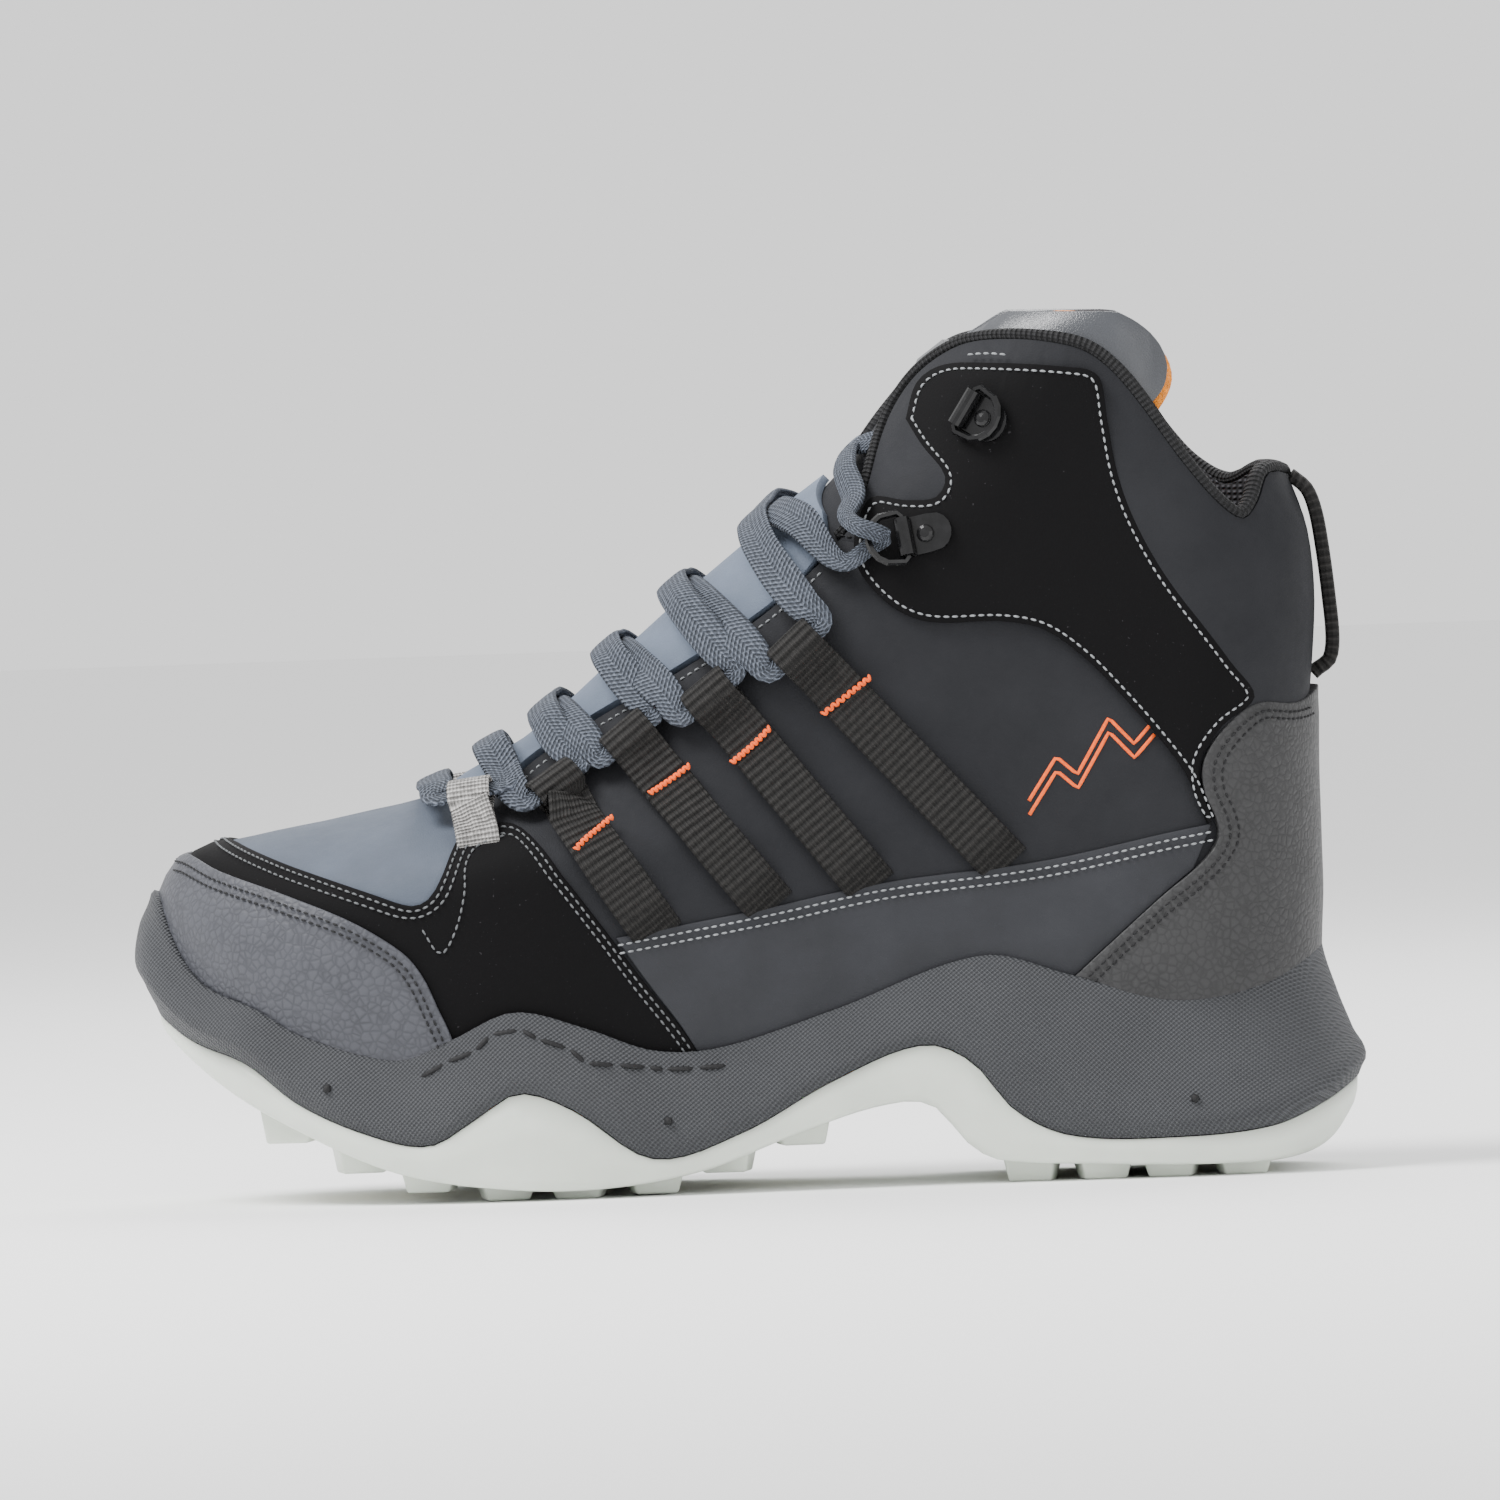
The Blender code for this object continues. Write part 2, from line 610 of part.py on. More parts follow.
def wall_point(turn, row):
    """Point of the midsole's outer wall: row 0 is its lip and the last row its bottom edge."""
    share = row[0]
    lip = base_point(lip_ring(turn), turn)
    foot = lip + plan_out(turn) * wall_offset(row, turn)
    top = lip.z
    bottom = line_at(WELT, foot.x)
    return Vector((foot.x, foot.y, top + (bottom - top) * share))


def welt_ring(inset, line, lift):
    """Ring inside the wall's bottom edge, at the height of a line of the sole."""
    points = []
    for turn in sole_turns():
        edge = wall_point(turn, WALL[-1]) - plan_out(turn) * inset
        points.append(Vector((edge.x, edge.y, line_at(line, edge.x) + lift)))
    return points


def midsole():
    """Foam cup: outer wall, lip, recess for the upper, and a floor with a channel for the shank."""
    recess = []
    for share in (0.0, 0.5, 1.0):
        ring = []
        for turn in sole_turns():
            edge = base_point(lip_ring(turn) * share, turn)
            ring.append(edge + plan_out(turn) * cup_clearance(edge.x))
        recess.append(ring)
    recess[0] = [Vector((point.x, point.y, point.z - FLOOR_DROP)) for point in recess[0]]
    outer = [[wall_point(turn, row) for turn in sole_turns()] for row in WALL]
    rings = [foot_ring(0.0, -FLOOR_DROP)] + recess + outer + [welt_ring(CORE_INSET, CORE, 0.0)]
    body = loft("midsole", rings, midsole_grey())
    cut(body, shank_channel(), "DIFFERENCE")
    return body


def shank_row(x, half, depth):
    z = line_at(FEATHER, x) - FLOOR_DROP - depth
    return Vector((x, -half, z)), Vector((x, half, z))


def shank_body(name, start, end, half, top, bottom, finish, collection=COLLECTION):
    """Strip that follows the floor of the midsole between two depths."""
    rings = []
    steps = 8
    for k in range(steps + 1):
        x = start + (end - start) * k / steps
        low_left, low_right = shank_row(x, half, bottom)
        top_left, top_right = shank_row(x, half, top)
        rings.append([low_left, low_right, top_right, top_left])
    return loft(name, rings, finish, False, collection)


def shank():
    start, end, width, thickness = SHANK
    return shank_body("shank", start, end, width / 2, SHANK_DEPTH, SHANK_DEPTH + thickness, spring_steel())


def shank_channel():
    start, end, width, thickness = SHANK
    bottom = SHANK_DEPTH + thickness + GAP
    channel = shank_body("shank_channel", start - 1, end + 1, width / 2 + 0.5, -1.0, bottom, None, CUTTERS)
    return as_cutter(channel)


def foot_ring(inset, lift):
    """Ring of the foot's outline, moved in, at a height over the feather line."""
    points = []
    for turn in sole_turns():
        edge = base_point(0.0, turn) - plan_out(turn) * inset
        points.append(Vector((edge.x, edge.y, line_at(FEATHER, edge.x) + lift)))
    return points


def plate(name, finish, inset, low, high):
    """Flat piece of the foot's outline between two heights over the feather line."""
    return loft(name, [foot_ring(inset, low), foot_ring(inset, high)], finish)


def lug(name, x, y, length, width, twist):
    """Tapered rubber block from the tread line up into the sole."""
    bottom = max(line_at(TREAD, x), 0.0)
    top = line_at(BASE_LINE, x) + LUG_ROOT
    height = top - bottom
    bpy.ops.mesh.primitive_cube_add(size=1, location=mm(x, y, bottom + height / 2))
    block = bpy.context.object
    block.name = name
    block.data.transform(Matrix.Diagonal((length * MM, width * MM, height * MM, 1.0)))
    for vertex in block.data.vertices:
        if vertex.co.z < 0:
            vertex.co.x *= 0.8
            vertex.co.y *= 0.8
        else:
            vertex.co.z += (line_at(BASE_LINE, x + vertex.co.x / MM) - line_at(BASE_LINE, x)) * MM
    block.rotation_euler = (0, 0, math.radians(twist))
    return as_cutter(place(block, None, CUTTERS))


def outsole():
    """Rubber shell that takes the midsole's underside and wraps up its sides, with lugs below."""
    top_edge = [wall_point(turn, WALL[-1]) - Vector((0, 0, 2 * GAP)) for turn in sole_turns()]
    under_edge = welt_ring(1.6, BASE_LINE, 0.0)
    under = welt_ring(CORE_INSET, BASE_LINE, -0.4)
    core = welt_ring(CORE_INSET, CORE, -CORE_DROP)
    body = loft("outsole", [under, under_edge, top_edge, core], outsole_rubber())
    for row, (x, inner, outer) in enumerate(LUG_ROWS):
        twist = LUG_TWIST if row % 2 else -LUG_TWIST
        for column, y in enumerate((-outer, -inner, inner, outer)):
            shift = TOE_SHIFT * (1 - ease(x, FRONT[0][0], -60))
            width = OUTER_LUG if abs(y) == outer else INNER_LUG
            block = lug(f"lug_{row}_{column}", x, y + shift, LUG_LENGTH, width, twist)
            cut(body, block, "UNION")
    return body


# ---------------------------------------------------------------- webbing, hooks and rings
def eye_frame(top, tail, side, start):
    """Frame of a fold's eye: local X points down the strap, Z out."""
    drop = Vector((tail[0] - top[0], tail[1] - top[1]))
    return surface_frame(top[0], top[1], side, start, drop)


def strap(name, top, tail, side, start, finish):
    """Webbing folded over the lace: up from its tail, round the eye, and back down over itself."""
    drop = Vector((tail[0] - top[0], tail[1] - top[1]))
    length = drop.length
    drop.normalize()
    steps = max(int(length / LEG_STEP), 1)
    legs = [6.0 + (length - 6.0) * k / steps for k in range(steps + 1)]
    lower_leg = [(down, 0.0) for down in reversed(legs)]
    upper_leg = [(down, 1.5) for down in legs]
    eye = eye_frame(top, tail, side, start)
    path = []
    across = []
    for down, out in lower_leg + FOLD + upper_leg:
        if (down, out) in FOLD:
            path.append(eye @ mm(down, 0, out) / MM)
            across.append(eye.to_3x3().col[1])
        else:
            spot = surface_frame(top[0] + drop.x * down, top[1] + drop.y * down, side, start + out, drop)
            path.append(spot.translation / MM)
            across.append(spot.to_3x3().col[1])
    return ribbon(name, path, across, STRAP_WIDTH, STRAP_THICKNESS, finish)


def lace_loops():
    for side, word in ((-1, "lateral"), (1, "medial")):
        for number, (top, tail) in enumerate(STRAPS, 1):
            strap(f"webbing_loop_{word}_{number}", top, tail, side, STRAP_START, black_webbing())
        strap(f"toe_lace_loop_{word}", TOE_LOOP[0], TOE_LOOP[1], side, TOE_LOOP_START, grey_webbing())


def cylinder(name, radius, depth):
    bpy.ops.mesh.primitive_cylinder_add(vertices=14, radius=radius * MM, depth=depth * MM)
    item = bpy.context.object
    item.name = name
    return item


def hook_plate(name, matrix):
    """Plate rolled into a barrel at its front end, with a hole for the rivet."""
    data = bpy.data.curves.new(name, "CURVE")
    data.dimensions = "2D"
    data.fill_mode = "BOTH"
    data.extrude = PLATE_THICKNESS / 2 * MM
    spline = data.splines.new("POLY")
    half = BARREL_LENGTH / 2
    outline = [(0.3, -half), (6.0, -half)]
    outline += [(7.0 + 4.5 * math.sin(a), -4.8 * math.cos(a)) for a in [math.pi * k / 8 for k in range(1, 8)]]
    outline += [(6.0, half), (0.3, half)]
    spline.points.add(len(outline) - 1)
    for knot, (x, y) in zip(spline.points, outline):
        knot.co = (x * MM, y * MM, 0, 1)
    spline.use_cyclic_u = True
    sheet = bpy.data.objects.new(name + "_sheet", data)
    place(sheet, None, CUTTERS)
    item = curve_to_mesh(sheet, name, gunmetal())
    item.data.transform(Matrix.Translation(mm(0, 0, PLATE_LIFT + PLATE_THICKNESS / 2 - BARREL_LIFT)))
    item.matrix_world = matrix
    quarter_turn = Matrix.Rotation(math.pi / 2, 4, "X")
    pieces = ((BARREL_RADIUS, BARREL_LENGTH - 0.2, quarter_turn, Vector(), "UNION"),
              (BORE_RADIUS, 2 * BARREL_LENGTH, quarter_turn, Vector(), "DIFFERENCE"),
              (RIVET_SHAFT + 0.3, 4.0, Matrix(), mm(RIVET_AT, 0, PLATE_LIFT - BARREL_LIFT), "DIFFERENCE"))
    for number, (radius, depth, turn, shift, operation) in enumerate(pieces):
        tool = cylinder(f"{name}_tool_{number}", radius, depth)
        place(tool, None, CUTTERS)
        tool.matrix_world = matrix @ Matrix.Translation(shift) @ turn
        cut(item, as_cutter(tool), operation)
    return item


def curve_to_mesh(source, name, finish):
    """Closed mesh of a filled curve, which then takes Boolean cuts."""
    bpy.context.view_layer.update()
    evaluated = source.evaluated_get(bpy.context.evaluated_depsgraph_get())
    mesh = bpy.data.meshes.new_from_object(evaluated)
    build = bmesh.new()
    build.from_mesh(mesh)
    bmesh.ops.remove_doubles(build, verts=build.verts, dist=0.00001)
    bmesh.ops.recalc_face_normals(build, faces=build.faces)
    build.to_mesh(mesh)
    build.free()
    item = bpy.data.objects.new(name, mesh)
    item.matrix_world = source.matrix_world.copy()
    bpy.data.objects.remove(source)
    return place(item, finish)


def rivet(name, matrix):
    """Domed rivet through the plate, the overlay and the panel below it."""
    bottom = BASE[0] - BARREL_LIFT
    top = PLATE_LIFT + PLATE_THICKNESS + 0.2 - BARREL_LIFT
    profile = [(0, top + 1.0), (1.2, top + 0.85), (1.9, top + 0.45), (RIVET_HEAD, top), (RIVET_SHAFT, top),
               (RIVET_SHAFT, bottom), (0, bottom)]
    mesh = bpy.data.meshes.new(name)
    edges = [(k, k + 1) for k in range(len(profile) - 1)]
    mesh.from_pydata([tuple(mm(x, 0, z)) for x, z in profile], edges, [])
    item = place(bpy.data.objects.new(name, mesh), gunmetal())
    spin = item.modifiers.new("turn", "SCREW")
    spin.steps = 12
    spin.render_steps = 12
    spin.use_merge_vertices = True
    spin.merge_threshold = 0.00001
    item.matrix_world = matrix @ Matrix.Translation(mm(RIVET_AT, 0, 0))
    return item


def d_ring(name, matrix, rest_degrees):
    """Wire ring whose straight side turns in the barrel; its own X axis points to its round side."""
    reach, half = 3.0, BARREL_LENGTH / 2 + WIRE_RADIUS + 0.5
    points = [Vector((0, y, 0)) for y in (-half + 1, 0, half - 1)]
    points += [Vector((1.0, half, 0))]
    arc = [math.pi * k / 8 for k in range(1, 8)]
    points += [Vector((reach + half * math.sin(a), half * math.cos(a), 0)) for a in arc]
    points += [Vector((1.0, -half, 0))]
    ring = tube(name, points, WIRE_RADIUS, gunmetal(), cyclic=True)
    ring.matrix_world = matrix @ Matrix.Rotation(math.radians(rest_degrees), 4, "Y")
    return ring


def hook_matrix(place_at, way, side):
    return surface_frame(place_at[0], place_at[1], side, BARREL_LIFT, way)


def rivet_hole(item, level, matrix):
    """Hole for a rivet through a piece of the upper."""
    tool = cylinder(f"{item.name}_{level}_rivet_hole", RIVET_SHAFT + 0.3, 14)
    place(tool, None, CUTTERS)
    tool.matrix_world = matrix @ Matrix.Translation(mm(RIVET_AT, 0, -5))
    cut(item, as_cutter(tool), "DIFFERENCE")


def hooks(panels):
    """Plates, rings and rivets. The lower rings are held forward by the lace, the upper ones lie back."""
    for side, word in ((-1, "lateral"), (1, "medial")):
        levels = (("lower", LOWER_HOOK, LOWER_RING_REST), ("upper", UPPER_HOOK, UPPER_RING_REST))
        for level, (spot, way), rest in levels:
            matrix = hook_matrix(spot, way, side)
            hook_plate(f"{level}_hook_{word}", matrix)
            d_ring(f"{level}_ring_{word}", matrix, rest)
            rivet(f"{level}_rivet_{word}", matrix)
            for item in panels[word]:
                rivet_hole(item, level, matrix)


# ---------------------------------------------------------------- lace
def eye_points(top, tail, side, start):
    """Points through a fold's eye, from its toe end to its ankle end, and round its corners."""
    eye = eye_frame(top, tail, side, start)
    toward = 1 if eye.col[1].x > 0 else -1
    down, out = EYE_MIDDLE
    reach = (STRAP_WIDTH / 2 + LACE_RADIUS + 2 * GAP) * toward
    route = [(down - 6, -reach), (down, -reach), (down, -0.4 * reach), (down, 0.4 * reach), (down, reach),
             (down - 6, reach)]
    return [eye @ mm(x, y, out) / MM for x, y in route]


def crossing(start, end, height):
    """Points from one side of the throat to the other, arched to a height over the tongue's ridge."""
    middle = (start + end) / 2
    rings = [RIDGE_START + 0.05 * k for k in range(130)]
    crest = min((upper_point(ring, 0, height) for ring in rings), key=lambda point: (point - middle).length)
    points = []
    for share in (0.12, 0.3, 0.5, 0.7, 0.88):
        arch = 1 - (2 * share - 1) ** 4
        points.append(start.lerp(end, share) + (crest - middle) * arch)
    return points


def lace_half(first_side, high_first):
    """Points of one half of the lace, from the toe loop of its first side to where it is tucked in."""
    points = []
    side = first_side
    high = high_first
    for number, (top, tail) in enumerate([TOE_LOOP] + STRAPS):
        here = eye_points(top, tail, side, STRAP_START if number else TOE_LOOP_START)
        if points:
            points += crossing(points[-1], here[0], HIGH_CROSSING if high else LOW_CROSSING)
            high = not high
        points += here
        side = -side
    hook = hook_matrix(*LOWER_HOOK, side)
    top_run = [hook @ mm(x, -side * y, z) / MM for x, y, z in RING_RUN]
    for x, z, height in LACE_TOP:
        top_run.append(upper_point(*foot_below(x, z, side, height), height))
    points += crossing(points[-1], top_run[0], HIGH_CROSSING if high else LOW_CROSSING)
    return points + top_run


def lace():
    """One lace: the toe bar joins its two halves, which zigzag up to the lower rings."""
    lateral = lace_half(-1, True)
    medial = lace_half(1, False)
    route = list(reversed(lateral)) + crossing(lateral[0], medial[0], LOW_CROSSING) + medial
    return tube("lace", route, LACE_RADIUS, lace_braid(), resolution=1)


# ---------------------------------------------------------------- the boot
def inner_pieces():
    panel("lining", lining_outline(), LINING, 0, lining_mesh())
    panel("toe_puff", [(-95, 120), (FAR_TOE, 120), (FAR_TOE, FAR_LOW), (-88, FAR_LOW)],
          FOAM, 0, stiffener_grey(),
          low=0, high=6)
    panel("heel_stiffener", [(85, FAR_LOW), (92, 60), (108, 100), (150, 104), (150, FAR_LOW)], FOAM, 0,
          stiffener_grey(), low=0, high=9)
    foam = [(110, 172), (72, 153), (100, 128), (112, 106), (150, 106), (150, 150), (137, 162), (129, 166),
            (123.5, 155.5), (117, 160)]
    panel("collar_foam", foam, FOAM, 0, foam_white(), low=6)
    panel("tongue_gusset", tongue_outline(), FOAM, 0, slate_fabric(), low=5, high=13)
    panel("tongue_lining", tongue_outline(), LINING, 0, orange_fleece(), low=5, high=13)
    panel("tongue_top", tongue_top_outline(), FOAM, 0, slate_fabric(), low=9)
    panel("tongue_top_lining", tongue_top_outline(), LINING, 0, orange_fleece(), low=9)


def outer_pieces():
    """Panels by layer. Returns those of each side that the hooks are riveted through."""
    panel("vamp", vamp_outline(), BASE, 0, slate_fabric(), low=0, high=8)
    panel("tongue", throat_outline(), TONGUE_PAD, 0, slate_fabric(), low=5)
    panel("mudguard", mudguard_outline(), OVERLAY, 0, black_leather(), low=0, high=8)
    panel("toe_cap", cap_outline(), CAP, 0, pebbled_leather(), low=0, high=7)
    panel("heel_counter", counter_outline(), OVERLAY, 0, pebbled_leather(), low=0, high=9)
    riveted = {}
    for side, word in ((-1, "lateral"), (1, "medial")):
        panel(f"quarter_{word}", quarter_outline(), BASE, side, graphite_fabric(), low=0, high=12)
        panel(f"side_panel_{word}", side_panel_outline(), OVERLAY, side, graphite_fabric(), low=0, high=8)
        collar = panel(f"collar_{word}", collar_outline(), BASE, side, graphite_fabric(), low=6)
        overlay = panel(f"ankle_overlay_{word}", ankle_outline(), OVERLAY, side, black_leather(), low=4)
        riveted[word] = (collar, overlay)
    return riveted


def pull_loop():
    """Webbing sewn to the heel above and below, standing off to let a finger in."""
    route = [(136.8, 168.8), (141.8, 165.4), (144.2, 160), (146.6, 151), (148.0, 139), (148.6, 128),
             (146.5, 123.5),
             (143.0, 121.4), (141.6, 120.2)]
    path = [Vector((x, 0, z)) for x, z in route]
    return ribbon("pull_loop", path, [Vector((0, 1, 0))] * len(path), 16.0, 1.4, black_webbing())


def build_boot():
    clear_scene()
    make_collections()
    outsole()
    midsole()
    shank()
    plate("lasting_board", board_fibre(), 0.5, 2 * GAP - FLOOR_DROP, -GAP)
    plate("footbed", orange_fleece(), 3.8, GAP, 4.2)
    inner_pieces()
    hooks(outer_pieces())
    pull_loop()
    lace_loops()
    lace()
    for item in bpy.data.collections[COLLECTION].objects:
        if item.type == "MESH":
            smooth(item)


build_boot()
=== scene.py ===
"""Looks of the hiking boot: fine surfaces, seams, stitching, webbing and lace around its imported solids.

Outlines are in millimetres, as (x, z) in the side view; the toe points to -X and the outer side to -Y.
The upper's surface is addressed by turn (0 at the toe's ridge, pi at the heel) and ring (0 in the sole).
"""
import math
from functools import lru_cache

import bmesh
import bpy
import numpy as np
from mathutils import Matrix, Vector
from mathutils.geometry import delaunay_2d_cdt


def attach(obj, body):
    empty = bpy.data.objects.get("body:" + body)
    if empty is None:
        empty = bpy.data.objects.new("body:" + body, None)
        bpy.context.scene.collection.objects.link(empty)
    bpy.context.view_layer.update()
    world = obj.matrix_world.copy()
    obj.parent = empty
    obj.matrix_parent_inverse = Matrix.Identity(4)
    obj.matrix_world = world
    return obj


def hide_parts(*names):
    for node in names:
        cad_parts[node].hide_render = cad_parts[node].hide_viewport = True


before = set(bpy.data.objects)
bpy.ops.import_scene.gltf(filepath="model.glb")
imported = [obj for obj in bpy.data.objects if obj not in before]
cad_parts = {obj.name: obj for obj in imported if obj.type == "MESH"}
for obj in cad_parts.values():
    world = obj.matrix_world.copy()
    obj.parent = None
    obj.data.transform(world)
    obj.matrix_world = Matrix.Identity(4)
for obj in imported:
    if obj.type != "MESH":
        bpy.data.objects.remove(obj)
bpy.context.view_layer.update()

MM = 0.001
SIDES = ((-1, "lateral"), (1, "medial"))

# ---------------------------------------------------------------- camera, as the photograph was taken
AIM = (0.0028, 0.0, 0.1061)
DISTANCE = 6.0
ELEVATION = 1.5                # degrees
ROLL = -1.95                   # degrees
LENS = 590.0
FLOOR_REACH = 6.0
SKY = 1.3
LIGHTS_AIM = Vector((0, 0, 0.1))
# Name, place, size and power of each light.
LIGHTS = (("key", (-0.8, -0.4, 1.3), 0.7, 40), ("fill", (0.9, -1.2, 0.5), 1.0, 4),
          ("back", (0.3, 1.1, 1.2), 0.9, 14))

# ---------------------------------------------------------------- shape of the upper, as in the solids
# Front and back ends of each ring in the side view, and how bluntly each ring rounds at toe and heel.
FRONT = [(-136, 54), (-138.5, 64), (-138, 75), (-131, 85), (-115, 90), (-95, 93), (-74, 97),
         (-50, 108), (-28, 126), (-8, 143), (13, 160), (33, 180), (44, 197), (58, 213)]
BACK = [(133, 36), (134.5, 44), (135.5, 52), (136, 60), (136.5, 68), (136.5, 77), (136.5, 87),
        (136.5, 98), (137, 111), (138.5, 125), (139.5, 140), (138.5, 154), (135, 168), (127, 208)]
NOSE = [45, 45, 46, 52, 70, 90, 100, 80, 55, 45, 40, 38, 35, 35]
HEEL = [34, 34, 34, 34, 33, 32, 31, 30, 30, 30, 31, 33, 35, 35]
TOP_RING = len(FRONT) - 1
RING_STEP = 0.1                # of the fine grid that surface points are read from
TURN_STEPS = 360
UNITS = np.array([60.0, 14.0])  # about how many mm a unit of turn and a unit of ring span
GRID_MARGIN = 1.3              # mm between a panel's outline and the grid inside it
EDGE_ANGLE = math.radians(55)  # sharper edges are rounded
# Line where the upper meets the sole, and the number of rings that bend down to it.
SAG_RINGS = 7.0
FEATHER = [(-136, 54), (-110, 37), (-80, 25), (-40, 19), (-10, 20), (20, 26), (45, 31), (80, 34),
           (133, 36)]
# Half widths along the foot and of the shaft.
LATERAL_WIDTH = [(-140, 44), (-100, 47), (-60, 48), (-20, 43), (20, 37), (60, 34), (100, 34), (140, 34)]
MEDIAL_WIDTH = [(-140, 42), (-100, 45), (-60, 45), (-20, 38), (20, 32), (60, 32), (100, 34), (140, 34)]
SHAFT_WIDTH = 36.0
SHAFT_LOW, SHAFT_HIGH = 70.0, 150.0
TOE_SHIFT, TOE_SHIFT_END = 6.0, -60.0

# Layers, as heights over that surface.
LINING = (-2.8, -1.6)
TONGUE = (-1.3, 0.0)
TONGUE_TOP = (-3.8, -2.0)
TONGUE_FLEECE = (-6.4, -4.0)
BASE = (0.3, 1.6)
OVERLAY = (1.9, 3.1)
CAP = (3.4, 4.6)
ANKLE_LAYER = (1.9, 4.0)       # over the collar's padding
COUNTER_LAYER = (1.9, 4.3)
TONGUE_PAD = (0.3, 2.4)

# Sole lines: the midsole's lip, where midsole and outsole meet, the outsole's underside, the lugs' feet.
LIP = [(-138.4, 79), (-136, 69), (-132.5, 60), (-127, 53), (-116, 47.5), (-106, 40.8), (-85, 34.3),
       (-72, 38.5), (-57, 45), (-40, 40.5), (-24, 34.5), (-8, 34.5), (20, 42.5), (57, 54.5), (79, 49),
       (103, 42.7), (122, 46), (136, 55), (142, 63)]
WELT = [(-147, 50), (-136, 41), (-122, 35), (-110, 25.5), (-93, 17.6), (-78, 14.5), (-66, 21), (-56, 26.5),
        (-43, 22), (-24, 9.5), (-2, 15), (20, 26.5), (42, 34.5), (54, 30), (64, 18), (78, 11.3),
        (105, 10.2), (127, 12), (140, 17), (150, 23)]
BASE_LINE = [(-147, 47), (-129, 30.5), (-110, 19), (-86, 8.2), (-60, 3.6), (-37, 2.8), (-12, 6.2),
             (12, 14.6), (32, 20.4), (44, 20), (53, 10), (60, 6.2), (85, 4.4), (112, 3.5), (130, 4),
             (141, 8), (150, 19)]
TREAD = [(-112, 15), (-95, 7.5), (-80, 3), (-66, 0.6), (-52, 0), (-38, 0), (-24, 0.4), (-8, 4.2),
         (10, 10), (30, 16), (58, 1.5), (66, 0), (126, 0), (138, 4.5)]
# How far the midsole wall stands out: share of its height, at the toe, side and heel.
WALL = [(0.0, 7.0, 5.8, 5.0), (0.3, 10.2, 8.2, 8.0), (0.65, 11.4, 10.0, 12.0), (0.88, 8.6, 10.4, 15.0),
        (1.0, 6.0, 9.6, 13.0)]
SOLE_TURNS = 220
WALL_ROWS = 22
HIGHEST_LIP_RING = 6.0
# Midsole: thickness of its lip, rounding of the lip's crest, depth of the inner side.
LIP_WIDTH, CREST, WELL_DEPTH = 2.6, 0.9, 9.0
# Heavy stitches along the midsole's forward wave, and its small moulded dots.
MIDSOLE_SEAM = [(-79, 31.0), (-70, 35.9), (-65.4, 38.7), (-58.3, 41.8), (-55, 41.1), (-48.3, 38.7),
                (-43.4, 36.6), (-38.8, 33.8), (-33.2, 32.1), (-25, 30.9), (-17.5, 30.4), (-6, 31.2)]
MIDSOLE_STITCH = 6.4
MEDIAL_SHIFT = -1.6            # the medial wall stands this much nearer than the lateral one
DOTS = [(-103, 28.6), (-20, 18.6), (107.7, 19.4)]
# Lugs in rows: x, and how far their inner and outer columns stand from the middle.
LUG_ROWS = [(-112, 9, 27), (-95, 11, 34), (-78, 13, 39), (-60, 13, 41), (-42, 13, 40), (-24, 12, 37),
            (-6, 11, 33), (12, 10, 30), (68, 9, 29), (85, 10, 30), (102, 10, 30), (119, 9, 28)]
LUG_LENGTH, OUTER_LUG, INNER_LUG = 13.0, 13.0, 11.0
LUG_TWIST = 9.0                # degrees
LUG_TAPER = 0.8
LUG_EDGE = 0.7                 # rounding
LUG_ROOT = 0.9                 # how far a lug reaches into the sole

# ---------------------------------------------------------------- outlines of the upper's pieces
EYESTAY = [(-67, 96.4), (-58, 98.2), (-48, 105.3), (-30, 116.4), (-13, 125.6), (8, 139), (21.5, 150.5)]
COLLAR_SEAM = [(27, 156.4), (60, 149.4), (86, 134), (104, 114), (112, 95.3), (139, 95.3)]
COLLAR_TOP = [(27, 156.4), (29.5, 159), (34, 168), (38.5, 181), (43, 190), (49, 197), (58, 202.5), (67, 204),
              (79, 203.3), (88, 200.6), (96.5, 192.6), (110, 172.6), (118, 162.5), (123.5, 158.8),
              (127, 162.5), (130, 169.5), (134.5, 168.7), (138.5, 165.5)]
MEDIAL_COLLAR_TOP = [(27, 156.4), (24.5, 160), (28.8, 170), (36.3, 181.5), (43.6, 190.5), (51, 198)]
MEDIAL_COLLAR_TOP += COLLAR_TOP[6:11] + [(110, 174.5), (117, 168.5), (122.5, 166.5), (126.5, 167.6)]
MEDIAL_COLLAR_TOP += COLLAR_TOP[15:]
ANKLE = [(45.9, 184.5), (49, 193), (54, 196.6), (61, 197.7), (86, 197), (90.5, 194.5), (92, 184.5),
         (94, 171.5), (97.5, 160.5), (103.5, 148.4), (111.6, 136), (118.6, 124.7), (123.4, 116),
         (116.2, 109.2), (111.2, 101), (111.2, 93.4), (113.4, 87), (112.6, 85.4), (107.9, 98.2),
         (101, 108.2), (92.7, 118.2), (84.5, 127), (75, 134), (65.2, 136.3), (47, 136.8), (38, 141),
         (31.5, 149), (31.5, 157), (36, 165.4), (44, 165), (51, 166), (53.4, 170.8), (49, 178), (45.9, 184.5)]
COUNTER_FRONT = [(66, 38), (69, 40.9), (83.2, 52.6), (99.6, 66.7), (110.5, 76), (114.5, 82.1), (114, 87),
                 (111.8, 93.2), (112, 101), (116.8, 108.9), (124, 114.6), (132.9, 114.2), (138.4, 118)]
SIDE_TOP = [(-31.6, 62.9), (4.4, 68.6), (33.8, 73.8), (73, 77.8), (103, 83.5), (113.2, 85.4)]
